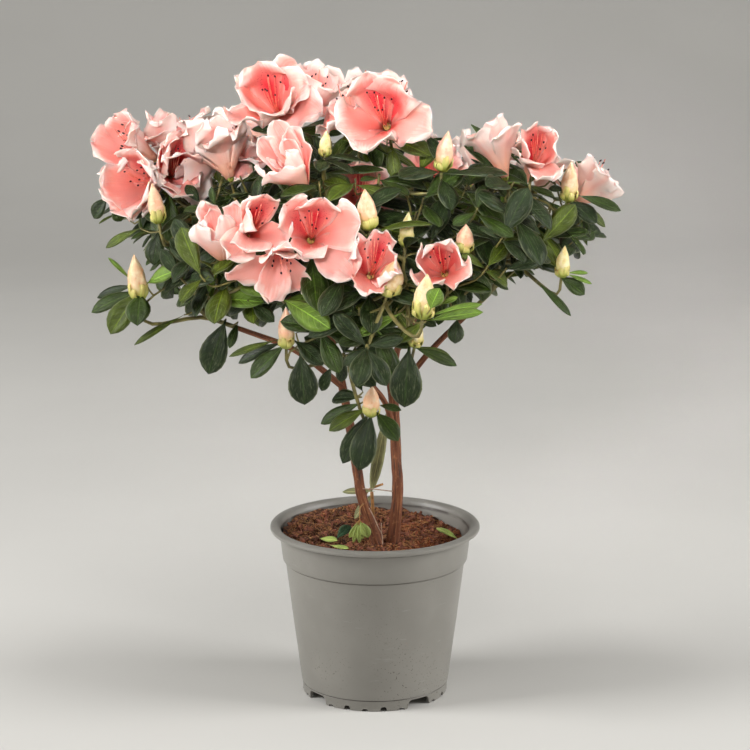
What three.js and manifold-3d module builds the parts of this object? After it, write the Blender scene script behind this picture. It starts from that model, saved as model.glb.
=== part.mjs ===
// An evergreen azalea in flower: two woody stems in a grey nursery pot, carrying a broad, open
// crown of leafy shoots, pink blooms and pointed buds.
// Millimetres, +Z up. The origin is the middle of the pot's underside, and -Y is the front.
import * as THREE from "three";
import { mergeVertices } from "three/addons/utils/BufferGeometryUtils.js";
import Module from "manifold-3d";

const wasm = await Module();
wasm.setup();

// Pot and compost
const POT_HEIGHT = 106;
const POT_SEGMENTS = 28;
const WALL = 1.5;
const RIM_RADIUS = 65;
const RIM_DEPTH = 3.5;
const COLLAR_TOP = [58.6, POT_HEIGHT - RIM_DEPTH];
const COLLAR_FOOT = [56.4, 86.5];
const BODY_TOP = [55, 85];
const BODY_FOOT = [44.6, 9];
const FOOT_RADIUS = 43.8;
const PAD_RADIUS = 14;
const FLOOR_HEIGHT = 6.5;
const LOBES = 4;
const LOBE_TURN = -6.5;
const ARCH_WIDTH = 16;
const ARCH_HEIGHT = 6.3;
const NOTCHES_PER_LOBE = 5;
const NOTCH_STEP = 15.2;
const NOTCH_WIDTH = 3.7;
const NOTCH_HEIGHT = 2.4;
const SOIL_LEVEL = 98;
const SOIL_FLAT_RADIUS = 20;
const SOIL_TILT = 0.055;
const SOIL_BUMP = 1.1;

// Clearance between any two solids, the size below which an edge is closed up, and how near two
// corners may come
const GAP = 0.3;
const SLIVER = 0.03;
const TOUCH = 0.004;

// The crown's outline is half an egg that stands over the pot
const CROWN_CENTRE = new THREE.Vector3(-12, 0, 262);
const CROWN_RADII = new THREE.Vector3(168, 150, 135);
const CROWN_REACH = 1.05;
const UNDERSIDE = 220;
const EDGE_RISE = [0.25, 0.4];
const LEAFY_TOP = 338;

// Growth
const UP = new THREE.Vector3(0, 0, 1);
const SHOOT_SPACING = 30;
const SHELL = [0.5, 0.88];
const TRIES = 600;
const TWIG_RADII = [1.3, 0.9];
const STALK_RADIUS = 0.8;
const SHOOT_LENGTH = 9;
const STEM_START = 16;
const PEDICEL = 7;
const CLUSTER_REACH = 20;
const WHORL = 6;
const LEAF_TRIES = 7;
const LEAF_CLEARANCE = 1;
const LEAF_LENGTHS = [30, 44];
const LEAF_WIDTH = 0.42;
const LEAF_WAIST = 0.58;
const LEAF_THICKNESS = 0.035;
const LEAF_LEAN = [50, 115];
const DROOP = [0.1, 0.6];
const DROOP_HEIGHTS = [285, 195];
const BLOOM_SEGMENTS = 10;
const BLOOM_NOTCH = 0.7;
const BLOOM_BEND = 0.12;
const BUD_SEGMENTS = 5;

const LOOKS = {
  plastic: { color: 0x8f918d, roughness: 0.5, metalness: 0 },
  compost: { color: 0x4d2a1b, roughness: 0.95, metalness: 0 },
  bark: { color: 0x8a5a46, roughness: 0.8, metalness: 0 },
  foliage: { color: 0x3c5235, roughness: 0.5, metalness: 0 },
  sprout: { color: 0x96a35c, roughness: 0.6, metalness: 0 },
};

// Each stem and bough: the points that it passes and its radius at the two ends
const STEMS = {
  stem_left: {
    path: [
      [2.5, -13, SOIL_LEVEL - 3],
      [-2, -12, 108],
      [-6, -11, 120],
      [-9, -10, 131],
      [-11, -8, 145],
      [-21, -4, 201],
      [-30, -4, 238],
    ],
    radii: [3.7, 2.3],
    flare: 0.9,
  },
  stem_right: {
    path: [
      [10.5, -9.5, SOIL_LEVEL - 3],
      [12.5, -10, 112],
      [14, -9.5, 131],
      [13, -8, 153],
      [11.5, -6, 185],
      [8, -4, 215],
      [8, -4, 240],
    ],
    radii: [3.9, 2.5],
    flare: 0.9,
  },
};
const BOUGHS = {
  bough_left_low: { from: "stem_left", path: [[-20, -5, 196], [-48, -22, 222], [-84, -42, 241]] },
  bough_left_top: { from: "stem_left", path: [[-28, -4, 229], [-52, -12, 262], [-88, -18, 292]] },
  bough_top_left: { from: "stem_left", path: [[-30, -4, 236], [-36, -10, 272], [-44, -22, 312]] },
  bough_front_left: { from: "stem_left", path: [[-23, -4, 208], [-38, -38, 242], [-57, -82, 274]] },
  bough_back_left: { from: "stem_left", path: [[-26, -4, 222], [-42, 26, 258], [-62, 50, 288]] },
  bough_front_low: { from: "stem_right", path: [[12.5, -7, 165], [6, -22, 190], [-8, -44, 212]] },
  bough_front_right: { from: "stem_right", path: [[10, -5, 196], [14, -36, 230], [17, -80, 266]] },
  bough_right_low: { from: "stem_right", path: [[11, -6, 188], [34, -20, 222], [58, -36, 250]] },
  bough_right_top: { from: "stem_right", path: [[8, -4, 222], [40, -13, 262], [83, -32, 305]] },
  bough_top_centre: { from: "stem_right", path: [[8, -4, 238], [10, -14, 272], [12, -28, 306]] },
  bough_back_centre: { from: "stem_right", path: [[8, -4, 230], [4, 24, 266], [2, 50, 300]] },
  bough_back_right: { from: "stem_right", path: [[9, -4, 210], [32, 18, 248], [56, 40, 284]] },
};
const BOUGH_RADII = [2.1, 1.5];

// Each mass of foliage: the bough that carries it, its middle, its leafy shoots, and the blooms and
// buds at their ends. A bloom or bud is [place of its mouth or middle], [way that it faces], and its
// width and depth.
const MASSES = {
  left_top: {
    bough: "bough_left_top",
    middle: [-124, -24, 326],
    shoots: 4,
    blooms: [
      [[-152, -8, 345], [-0.85, -0.35, 0.4], 54, 24],
      [[-126, 12, 352], [0.05, -0.3, 0.95], 50, 24],
      [[-139, -56, 329], [-0.45, -0.85, 0.05], 58, 24],
      [[-114, -44, 338], [0.35, -0.8, 0.4], 54, 24],
      [[-92, -40, 352], [-0.3, 0.35, 0.85], 58, 24],
      [[-76, -22, 350], [0.5, -0.35, 0.75], 44, 24],
    ],
    buds: [[[-126, -80, 322], [-0.15, -0.1, 1], 9, 22]],
  },
  left_low: {
    bough: "bough_left_low",
    middle: [-118, -58, 262],
    shoots: 6,
    blooms: [],
    buds: [[[-139, -66, 276], [-0.1, -0.05, 1], 11, 26]],
  },
  top_left: {
    bough: "bough_top_left",
    middle: [-50, -36, 350],
    shoots: 4,
    blooms: [
      [[-62, -45, 379], [-0.25, -0.75, 0.6], 62, 25],
      [[-32, -8, 380], [0.45, -0.4, 0.75], 50, 24],
      [[-54, -94, 355], [-0.5, -0.3, 0.8], 30, 30],
    ],
    buds: [[[-28, -84, 357], [0.1, -0.2, 1], 7, 14]],
  },
  top_centre: {
    bough: "bough_top_centre",
    middle: [12, -46, 344],
    shoots: 4,
    blooms: [
      [[2, -75, 373], [-0.2, -0.85, 0.45], 64, 25],
      [[18, -28, 375], [0.7, -0.1, 0.6], 46, 24],
      [[-22, -48, 375], [-0.6, -0.15, 0.7], 40, 26],
      [[-9, -44, 325], [0, -0.7, 0.6], 38, 24],
      [[37, -8, 336], [0.3, -0.5, 0.8], 40, 24],
    ],
    buds: [[[40, -86, 353], [0.15, -0.1, 1], 10, 22]],
  },
  front_left: {
    bough: "bough_front_left",
    middle: [-62, -106, 298],
    shoots: 3,
    blooms: [
      [[-91, -110, 320], [-0.15, -0.3, 0.95], 28, 30],
      [[-64, -122, 318], [0.4, -0.75, 0.5], 48, 24],
      [[-35, -128, 315], [0.05, -0.88, 0.45], 56, 24],
      [[-52, -128, 292], [0.1, -0.78, -0.6], 44, 22],
    ],
    buds: [],
  },
  front_right: {
    bough: "bough_front_right",
    middle: [20, -108, 288],
    shoots: 4,
    blooms: [
      [[0, -134, 299], [0.1, -0.8, 0.55], 36, 26],
      [[36, -130, 296], [-0.15, -0.85, 0.45], 42, 24],
    ],
    buds: [
      [[17, -128, 293], [0.2, -0.4, 0.85], 14, 22],
      [[28, -128, 277], [0.1, -0.1, 1], 12, 24],
      [[24, -110, 251], [0.2, -0.1, 1], 8, 13],
      [[-12, -120, 322], [-0.1, -0.1, 1], 11, 22],
      [[18, -110, 312], [0.1, 0, 1], 8, 18],
    ],
  },
  front_low: {
    bough: "bough_front_low",
    middle: [-26, -70, 232],
    shoots: 3,
    blooms: [],
    buds: [
      [[-51, -98, 253], [0, -0.1, 1], 9, 23],
      [[-2, -62, 201], [0.05, -0.25, 1], 10, 18],
    ],
  },
  right_top: {
    bough: "bough_right_top",
    middle: [106, -44, 326],
    shoots: 6,
    blooms: [
      [[69, -62, 358], [-0.25, 0.15, 0.95], 46, 25],
      [[94, -70, 352], [0.1, -0.7, 0.65], 44, 24],
      [[135, -18, 327], [0.75, 0.3, 0.55], 38, 26],
    ],
    buds: [[[114, -50, 330], [0.05, -0.05, 1], 10, 22]],
  },
  right_low: {
    bough: "bough_right_low",
    middle: [88, -66, 276],
    shoots: 7,
    blooms: [],
    buds: [
      [[51, -105, 306], [0.05, -0.1, 1], 10, 15],
      [[109, -74, 287], [0.1, 0, 1], 8, 17],
    ],
  },
  back_left: {
    bough: "bough_back_left",
    middle: [-92, 74, 312],
    shoots: 7,
    blooms: [
      [[-122, 66, 342], [-0.6, 0.5, 0.65], 54, 24],
      [[-84, 108, 338], [-0.2, 0.85, 0.5], 52, 24],
      [[-58, 70, 368], [-0.15, 0.35, 0.92], 50, 24],
    ],
    buds: [[[-136, 56, 296], [-0.3, 0.1, 0.95], 10, 22]],
  },
  back_centre: {
    bough: "bough_back_centre",
    middle: [0, 86, 334],
    shoots: 6,
    blooms: [
      [[-6, 62, 376], [0.05, 0.25, 0.97], 54, 24],
      [[14, 124, 328], [0.1, 0.9, 0.4], 56, 24],
    ],
    buds: [[[-34, 118, 318], [-0.1, 0.4, 0.9], 10, 22]],
  },
  back_right: {
    bough: "bough_back_right",
    middle: [86, 68, 308],
    shoots: 7,
    blooms: [
      [[66, 62, 330], [0.1, 0.3, 0.95], 46, 24],
      [[108, 72, 326], [0.65, 0.5, 0.55], 50, 24],
    ],
    buds: [[[62, 112, 310], [0.2, 0.5, 0.85], 10, 22]],
  },
};

// Young shoot behind the two stems: a thin twig and its pale leaves
const SPROUT_TWIG = [[-7, -9, 123], [-4, 3, 128], [5, 6, 131]];
const SPROUT_RADII = [0.9, 0.7];
const SPROUT_LEAVES = [
  { to: [3, 6, 170], width: 8 },
  { to: [-21, 2, 128], width: 5 },
  { to: [-14, 0, 110], width: 6 },
];

const vector = (place) => new THREE.Vector3(...place);
const between = ([low, high], share) => low + (high - low) * share;

// A repeatable stream of numbers from 0 to 1
function seeded(seed) {
  let state = 1 + seed;
  return () => {
    state = (state * 48271) % 2147483647;
    return state / 2147483647;
  };
}

// A closed geometry as a solid, its vertices shared by place alone
function solidOf(geometry) {
  const bare = geometry.index ? geometry.toNonIndexed() : geometry.clone();
  const merged = mergeVertices(
    new THREE.BufferGeometry().setAttribute("position", bare.getAttribute("position")),
    1e-4,
  );
  return new wasm.Manifold(
    new wasm.Mesh({
      numProp: 3,
      vertProperties: merged.attributes.position.array,
      triVerts: new Uint32Array(merged.index.array),
    }),
  );
}

// A solid as a named mesh, without the slivers and loose scraps that joining and cutting leave
function meshOf(name, solid, look) {
  const pieces = solid.simplify(SLIVER).decompose();
  const whole = pieces.reduce((a, b) => (b.volume() > a.volume() ? b : a));
  const data = whole.getMesh();
  const geometry = new THREE.BufferGeometry()
    .setAttribute("position", new THREE.BufferAttribute(data.vertProperties, 3))
    .setIndex(new THREE.BufferAttribute(data.triVerts, 1));
  geometry.computeVertexNormals();
  drawApart(geometry);
  const mesh = new THREE.Mesh(geometry, new THREE.MeshStandardMaterial(look));
  mesh.name = name;
  return mesh;
}

// Where two corners of a surface touch, one is drawn a hair inwards
function drawApart(geometry) {
  const places = geometry.attributes.position;
  const normals = geometry.attributes.normal;
  const [here, there, inward] = [new THREE.Vector3(), new THREE.Vector3(), new THREE.Vector3()];
  for (let i = 0; i < places.count; i++) {
    here.fromBufferAttribute(places, i);
    for (let j = 0; j < i; j++) {
      if (Math.abs(places.getX(j) - here.x) > TOUCH) continue;
      if (there.fromBufferAttribute(places, j).distanceTo(here) > TOUCH) continue;
      here.addScaledVector(inward.fromBufferAttribute(normals, i), -3 * TOUCH);
    }
    places.setXYZ(i, here.x, here.y, here.z);
  }
}

// Two directions across a line at each of its points, carried along it without twist
function framesAlong(points) {
  const last = points.length - 1;
  let normal = new THREE.Vector3(0.3, 0.9, 0.2);
  return points.map((_, i) => {
    const tangent = points[Math.min(i + 1, last)].clone().sub(points[Math.max(i - 1, 0)]).normalize();
    normal = normal.clone().addScaledVector(tangent, -normal.dot(tangent)).normalize();
    return { normal, other: normal.clone().cross(tangent) };
  });
}

// A limb: a capped cylinder whose rings stand on the given points, squared to the line
function limb(points, radiusAt, sides) {
  const last = points.length - 1;
  const frames = framesAlong(points);
  const geometry = new THREE.CylinderGeometry(1, 1, 1, sides, last);
  const places = geometry.attributes.position;
  for (let i = 0; i < places.count; i++) {
    const ring = Math.round((places.getY(i) + 0.5) * last);
    const radius = radiusAt(ring / last);
    const place = points[ring]
      .clone()
      .addScaledVector(frames[ring].normal, places.getX(i) * radius)
      .addScaledVector(frames[ring].other, places.getZ(i) * radius);
    places.setXYZ(i, place.x, place.y, place.z);
  }
  return geometry;
}

// Stems and boughs

const STEM_RINGS = 10;
const BOUGH_RINGS = 3;
const linePoints = (path, count) => new THREE.CatmullRomCurve3(path.map(vector)).getSpacedPoints(count);

// A stem flares where it meets the ground, and the cut there is flat
function stemSolid({ path, radii, flare }, extra = 0) {
  const radiusAt = (t) => between(radii, t) + flare * Math.exp(-t * 20) + extra;
  return solidOf(limb(linePoints(path, STEM_RINGS), radiusAt, 8)).trimByPlane([0, 0, 1], SOIL_LEVEL + GAP);
}

const boughGeometry = (path, extra) =>
  limb(linePoints(path, BOUGH_RINGS), (t) => between(BOUGH_RADII, t) + extra, 5);

function boughSolid({ from, path }) {
  return solidOf(boughGeometry(path, 0)).subtract(stemSolid(STEMS[from], GAP));
}

// Places along every limb with the radius there, which foliage keeps clear of
function limbPlaces() {
  const spots = [];
  const walk = (path, radii) =>
    linePoints(path, 24).forEach((at, i) => spots.push({ at, radius: between(radii, i / 24) }));
  for (const { path, radii } of Object.values(STEMS)) walk(path, radii);
  for (const { path } of Object.values(BOUGHS)) walk(path, BOUGH_RADII);
  return spots;
}

// The space of each mass

const masses = Object.entries(MASSES).map(([name, mass], index) => ({
  ...mass,
  name,
  seed: 139 * (index + 1),
  middle: vector(mass.middle),
}));
const limbSpots = limbPlaces();
const limbsWithRoom = wasm.Manifold.union([
  ...Object.values(STEMS).map((stem) => stemSolid(stem, GAP)),
  ...Object.values(BOUGHS).map(({ path }) => solidOf(boughGeometry(path, 1.5 * GAP))),
]);

// How far a place lies inside a mass's own space, which ends midway to each neighbour's middle
function depthInSpace(place, mass) {
  let depth = Infinity;
  for (const other of masses) {
    if (other === mass) continue;
    const apart = other.middle.distanceTo(mass.middle);
    const beyond = place.distanceToSquared(other.middle) - place.distanceToSquared(mass.middle);
    depth = Math.min(depth, beyond / (2 * apart));
  }
  return depth;
}

function crownShare(place) {
  return place.clone().sub(CROWN_CENTRE).divide(CROWN_RADII).length();
}

function clearOfLimbs(place, clearance) {
  return limbSpots.every((spot) => spot.at.distanceTo(place) > spot.radius + clearance);
}

// Cuts a solid back to its mass's space
function trimmed(solid, mass) {
  let kept = solid;
  for (const other of masses) {
    if (other === mass) continue;
    const away = mass.middle.clone().sub(other.middle).normalize();
    const midway = mass.middle.clone().add(other.middle).multiplyScalar(0.5);
    kept = kept.trimByPlane(away.toArray(), away.dot(midway) + GAP / 2);
  }
  return kept;
}

// Growth: the same rule serves every mass

// Where a mass's shoots end, and the blooms or bud that each carries
function shootTips(mass) {
  const tips = [];
  for (const [mouth, faces, width, depth] of mass.blooms) {
    const facing = vector(faces).normalize();
    const foot = vector(mouth).addScaledVector(facing, -depth);
    const bloom = { foot, facing, width, depth };
    const near = tips.find((tip) => tip.blooms.length && tip.at.distanceTo(foot) < CLUSTER_REACH);
    if (near) near.blooms.push(bloom);
    else {
      const at = foot.clone().addScaledVector(facing, -PEDICEL).addScaledVector(UP, -2);
      tips.push({ at, facing: facing.clone().add(UP).normalize(), blooms: [bloom], bud: null });
    }
  }
  for (const [middle, faces, width, depth] of mass.buds) {
    const facing = vector(faces).normalize();
    const at = vector(middle).addScaledVector(facing, -depth / 2);
    tips.push({ at, facing, blooms: [], bud: { width, depth } });
  }
  const random = seeded(mass.seed);
  const wanted = tips.length + mass.shoots;
  for (let i = 0; i < TRIES && tips.length < wanted; i++) {
    const turn = random() * 2 * Math.PI;
    const rise = random() * 1.5 - 0.5;
    const share = between(SHELL, Math.cbrt(random()));
    const flat = Math.sqrt(Math.max(0, 1 - rise * rise));
    const out = new THREE.Vector3(flat * Math.cos(turn), flat * Math.sin(turn), rise);
    const at = out.clone().multiply(CROWN_RADII).multiplyScalar(share).add(CROWN_CENTRE);
    const underside = UNDERSIDE + Math.max(-at.x * EDGE_RISE[0], at.x * EDGE_RISE[1]);
    if (at.z > LEAFY_TOP || at.z < underside) continue;
    if (depthInSpace(at, mass) < 6 || !clearOfLimbs(at, 9)) continue;
    if (tips.some((tip) => tip.at.distanceTo(at) < SHOOT_SPACING)) continue;
    if (tips.some((tip) => tip.blooms.some((bloom) => insideBloom(at, bloom, 8)))) continue;
    const facing = out.addScaledVector(UP, 0.7).normalize();
    tips.push({ at, facing, blooms: [], bud: null });
  }
  return tips;
}

// True for a place inside a bloom's cup, or within a margin of it
function insideBloom(place, { foot, facing, width, depth }, margin) {
  const from = place.clone().sub(foot);
  const along = from.dot(facing);
  if (along < 0 || along > depth + margin) return false;
  const across = Math.sqrt(Math.max(0, from.lengthSq() - along * along));
  return across < (width / 2) * Math.min(1, along / depth) + margin;
}

// A twig starts sunk in its parent, leans from the parent's line towards its tip, and ends in a
// straight leafy shoot
function twigPoints(node, tip) {
  const way = tip.at.clone().sub(node.at);
  const reach = 0.35 * way.length();
  const leaves = way.normalize().multiplyScalar(0.5).add(node.along).normalize();
  const collar = tip.at.clone().addScaledVector(tip.facing, -SHOOT_LENGTH);
  const curve = new THREE.CubicBezierCurve3(
    node.at.clone().addScaledVector(leaves, -1),
    node.at.clone().addScaledVector(leaves, reach),
    collar.clone().addScaledVector(tip.facing, -reach),
    collar,
  );
  return curve.getPoints(node.at.distanceTo(tip.at) > 65 ? 2 : 1);
}

// Joins every tip to what has grown so far, nearest to the stem first
function growTwigs(mass, tips) {
  const [before, end] = linePoints(BOUGHS[mass.bough].path, BOUGH_RINGS).slice(-2);
  const along = end.clone().sub(before).normalize();
  const root = end.clone().addScaledVector(along, GAP);
  const fork = root.clone().addScaledVector(along, STEM_START);
  const nodes = [{ at: fork, along, distance: STEM_START }];
  const twigs = [{ points: [root, fork], tip: null }];
  for (const tip of [...tips].sort((a, b) => a.at.distanceTo(root) - b.at.distanceTo(root))) {
    const cost = (node) => {
      const way = tip.at.clone().sub(node.at);
      const length = way.length();
      return length * (1.6 - (0.6 * way.dot(node.along)) / length) + 0.15 * node.distance;
    };
    const node = nodes.reduce((a, b) => (cost(b) < cost(a) ? b : a));
    const points = twigPoints(node, tip);
    twigs.push({ points, tip });
    let distance = node.distance;
    for (let i = 1; i < points.length; i++) {
      const way = points[i].clone().sub(points[i - 1]);
      distance += way.length();
      const heading = way.normalize();
      nodes.push({ at: points[i].clone().addScaledVector(heading, -1.5), along: heading, distance });
    }
  }
  return twigs;
}

// The leaves of one shoot stand in two whorls of three under its tip. Low shoots hang theirs. Each
// leaf is tried in a few ways until one fits, or is left out.
function addLeaves(mass, tip, points, fits) {
  const random = seeded(Math.round(mass.seed + 7 * tip.at.x + 13 * tip.at.z + 10000));
  const { normal, other } = framesAlong([...points, tip.at])[points.length];
  const height = THREE.MathUtils.smoothstep(tip.at.z, DROOP_HEIGHTS[1], DROOP_HEIGHTS[0]);
  const droop = between(DROOP, 1 - height);
  for (let i = 0; i < WHORL; i++) {
    const age = (i + 0.5) / WHORL;
    const root = tip.at.clone().addScaledVector(tip.facing, -2.5 - (SHOOT_LENGTH - 3.5) * age);
    const middle = THREE.MathUtils.degToRad(60 + 120 * (i % 3) + (i < 3 ? 30 : -30));
    for (let attempt = 0; attempt < LEAF_TRIES; attempt++) {
      const turn = middle + (random() - 0.5) * 0.3;
      const lean = THREE.MathUtils.degToRad(between(LEAF_LEAN, age) + (random() - 0.5) * (20 + 8 * attempt));
      const length = between(LEAF_LENGTHS, random()) * (0.85 + 0.2 * age - 0.05 * attempt);
      const along = tip.facing
        .clone()
        .multiplyScalar(Math.cos(lean))
        .addScaledVector(normal, Math.sin(lean) * Math.sin(turn))
        .addScaledVector(other, Math.sin(lean) * Math.cos(turn))
        .addScaledVector(UP, -droop)
        .normalize();
      if (fits({ root, along, length, facing: tip.facing, width: length * LEAF_WIDTH })) break;
    }
  }
}

// A leaf's corners: its root, its point, and its two sides, widest past the middle
function leafCorners({ root, along, length, facing, width }) {
  const across = facing.clone().cross(along).normalize();
  const out = along.clone().cross(across);
  const waist = root
    .clone()
    .addScaledVector(along, length * LEAF_WAIST)
    .addScaledVector(out, length * LEAF_THICKNESS);
  return {
    root,
    point: root.clone().addScaledVector(along, length),
    left: waist.clone().addScaledVector(across, -width / 2),
    right: waist.clone().addScaledVector(across, width / 2),
  };
}

// A leaf is a thin folded blade between its corners
function leafGeometry(leaf) {
  const { root, point, left, right } = leafCorners(leaf);
  const geometry = new THREE.TetrahedronGeometry();
  const places = geometry.attributes.position;
  for (let i = 0; i < places.count; i++) {
    const [x, z] = [places.getX(i), places.getZ(i)];
    const corner = z > 0 ? (x > 0 ? right : left) : x > 0 ? point : root;
    places.setXYZ(i, corner.x, corner.y, corner.z);
  }
  return geometry;
}

// True for a leaf whose blade, past its root, keeps to its mass's space and meets nothing there
function isFree(leaf, mass, grown, reach) {
  const { point, left, right } = leafCorners(leaf);
  if ([point, left, right].some((place) => depthInSpace(place, mass) < 2 * GAP)) return false;
  if ([point, left, right].some((place) => crownShare(place) > reach)) return false;
  const root = leaf.root.clone().addScaledVector(leaf.along, LEAF_CLEARANCE + 2.5);
  const blade = leafGeometry({ ...leaf, root, width: leaf.width + LEAF_CLEARANCE });
  return solidOf(blade).intersect(grown).isEmpty();
}

// A bloom is a thin funnel with five lobes that bend back
function bloomGeometry({ foot, facing, width, depth }) {
  const radius = width / 2;
  const profile = [
    new THREE.Vector2(0, -5),
    new THREE.Vector2(radius, depth),
    new THREE.Vector2(0, depth * 0.42),
  ];
  const geometry = new THREE.LatheGeometry(profile, BLOOM_SEGMENTS);
  const places = geometry.attributes.position;
  for (let i = 0; i < places.count; i++) {
    const [x, y, z] = [places.getX(i), places.getY(i), places.getZ(i)];
    if (Math.hypot(x, z) < radius * 0.9) continue;
    const isNotch = Math.round((Math.atan2(x, z) / (2 * Math.PI)) * BLOOM_SEGMENTS) % 2;
    const share = isNotch ? BLOOM_NOTCH : 1;
    places.setXYZ(i, x * share, isNotch ? y : y - depth * BLOOM_BEND, z * share);
  }
  const turned = new THREE.Quaternion().setFromUnitVectors(new THREE.Vector3(0, 1, 0), facing);
  return geometry.applyQuaternion(turned).translate(foot.x, foot.y, foot.z);
}

function budGeometry(tip) {
  const { width, depth } = tip.bud;
  const profile = [
    new THREE.Vector2(0, -2.5),
    new THREE.Vector2(width * 0.5, depth * 0.38),
    new THREE.Vector2(width * 0.38, depth * 0.7),
    new THREE.Vector2(0, depth),
  ];
  const turned = new THREE.Quaternion().setFromUnitVectors(new THREE.Vector3(0, 1, 0), tip.facing);
  return new THREE.LatheGeometry(profile, BUD_SEGMENTS)
    .applyQuaternion(turned)
    .translate(tip.at.x, tip.at.y, tip.at.z);
}

// The twigs, blooms and buds of a mass, still without leaves
function bareMass(twigs) {
  const pieces = [];
  for (const { points, tip } of twigs) {
    if (!tip) {
      pieces.push(limb(points, (t) => between([BOUGH_RADII[1], TWIG_RADII[0]], t), 5));
      continue;
    }
    const line = [...points, tip.at, ...tip.blooms.slice(0, 1).map((bloom) => bloom.foot)];
    pieces.push(limb(line, (t) => between(TWIG_RADII, t), 3));
    const start = tip.at.clone().addScaledVector(tip.facing, -1);
    for (const { foot } of tip.blooms.slice(1)) pieces.push(limb([start, foot], () => STALK_RADIUS, 3));
    pieces.push(...tip.blooms.map(bloomGeometry));
    if (tip.bud) pieces.push(budGeometry(tip));
  }
  return wasm.Manifold.union(pieces.map(solidOf)).subtract(limbsWithRoom);
}

function massSolid(mass) {
  const twigs = growTwigs(mass, shootTips(mass));
  let grown = bareMass(twigs);
  for (const { points, tip } of twigs.slice(1)) {
    // A shoot that flowers or carries a bud may reach past the crown's outline
    const reach = tip.blooms.length || tip.bud ? Infinity : CROWN_REACH;
    const fits = (leaf) => {
      const free = isFree(leaf, mass, grown.add(limbsWithRoom), reach);
      if (free) grown = grown.add(solidOf(leafGeometry(leaf)));
      return free;
    };
    addLeaves(mass, tip, points, fits);
  }
  return trimmed(grown, mass);
}

// Pot

// The pot's inner wall from its floor to its lip
const innerWall = [
  [BODY_FOOT[0] - WALL, FLOOR_HEIGHT + WALL],
  [BODY_TOP[0] - WALL, BODY_TOP[1]],
  [COLLAR_TOP[0] - WALL, COLLAR_TOP[1]],
];

function insideRadius(height) {
  const [low, high] = height > BODY_TOP[1] ? innerWall.slice(1) : innerWall;
  return between([low[0], high[0]], (height - low[1]) / (high[1] - low[1]));
}

function potSolid() {
  const lip = POT_HEIGHT - RIM_DEPTH;
  const profile = [
    [0, 0],
    [PAD_RADIUS, 0],
    [PAD_RADIUS + 5, FLOOR_HEIGHT],
    [FOOT_RADIUS - 2 * WALL, FLOOR_HEIGHT],
    [FOOT_RADIUS - WALL, 0],
    [FOOT_RADIUS, 0],
    BODY_FOOT,
    BODY_TOP,
    COLLAR_FOOT,
    COLLAR_TOP,
    [RIM_RADIUS - 0.6, lip],
    [RIM_RADIUS, lip + 1.3],
    [RIM_RADIUS - 1.4, POT_HEIGHT],
    [RIM_RADIUS - 4.6, POT_HEIGHT - 0.4],
    ...innerWall.toReversed(),
    [PAD_RADIUS + 4, FLOOR_HEIGHT + WALL],
    [PAD_RADIUS - 1, WALL],
    [0, WALL],
  ].map(([r, z]) => new THREE.Vector2(r, z));
  const shell = new THREE.LatheGeometry(profile, POT_SEGMENTS).rotateX(Math.PI / 2);
  const cuts = [];
  for (let lobe = 0; lobe < LOBES; lobe++) {
    const middle = LOBE_TURN + (lobe * 360) / LOBES;
    cuts.push(footCut(new THREE.BoxGeometry(ARCH_WIDTH, 12, 2 * ARCH_HEIGHT), middle + 180 / LOBES));
    for (let i = 0; i < NOTCHES_PER_LOBE; i++) {
      const turn = middle + (i - (NOTCHES_PER_LOBE - 1) / 2) * NOTCH_STEP;
      cuts.push(footCut(new THREE.BoxGeometry(NOTCH_WIDTH, 12, 2 * NOTCH_HEIGHT), turn));
    }
  }
  return solidOf(shell).subtract(wasm.Manifold.union(cuts));
}

// A cutter laid across the foot ring, a turn in degrees from the front
function footCut(geometry, turn) {
  return solidOf(
    geometry.translate(0, -FOOT_RADIUS, 0).rotateZ(THREE.MathUtils.degToRad(turn)),
  );
}

// The compost lies a little higher at the left and back, and is level round the stems
function soilHeight(x, y) {
  const away = Math.hypot(x, y);
  const share = THREE.MathUtils.smoothstep(away, SOIL_FLAT_RADIUS, SOIL_FLAT_RADIUS + 15);
  const bumps = Math.sin(x * 0.21 + 1) * Math.cos(y * 0.17) + Math.sin(x * 0.4 - y * 0.33);
  return SOIL_LEVEL + share * ((y - x) * SOIL_TILT + SOIL_BUMP * bumps);
}

function soilSolid() {
  const floor = FLOOR_HEIGHT + WALL + GAP;
  const profile = [
    [0, WALL + GAP],
    [PAD_RADIUS - 1 - GAP, WALL + GAP],
    [PAD_RADIUS + 4 - GAP, floor],
    [insideRadius(floor) - 2 * GAP, floor],
    [insideRadius(BODY_TOP[1]) - GAP, BODY_TOP[1]],
    [insideRadius(SOIL_LEVEL) - GAP, SOIL_LEVEL],
    [45, SOIL_LEVEL],
    [32, SOIL_LEVEL],
    [SOIL_FLAT_RADIUS, SOIL_LEVEL],
    [0, SOIL_LEVEL],
  ].map(([r, z]) => new THREE.Vector2(r, z));
  const geometry = new THREE.LatheGeometry(profile, POT_SEGMENTS).rotateX(Math.PI / 2);
  const places = geometry.attributes.position;
  for (let i = 0; i < places.count; i++) {
    if (Math.abs(places.getZ(i) - SOIL_LEVEL) > 0.01) continue;
    const [x, y] = [places.getX(i), places.getY(i)];
    const height = soilHeight(x, y);
    const away = Math.hypot(x, y);
    const inward = away > 52 ? (insideRadius(height) - GAP) / away : 1;
    places.setXYZ(i, x * inward, y * inward, height);
  }
  return solidOf(geometry);
}

function sproutSolid() {
  const points = linePoints(SPROUT_TWIG, 4);
  const pieces = [solidOf(limb(points, (t) => between(SPROUT_RADII, t), 5))];
  SPROUT_LEAVES.forEach(({ to, width }, i) => {
    const root = points[2].clone().lerp(points[3], 0.2 * i);
    const along = vector(to).sub(root);
    const length = along.length();
    const facing = new THREE.Vector3(0, 1, 0.1);
    pieces.push(solidOf(leafGeometry({ root, along: along.normalize(), length, facing, width })));
  });
  return wasm.Manifold.union(pieces).subtract(stemSolid(STEMS.stem_left, GAP));
}

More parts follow.
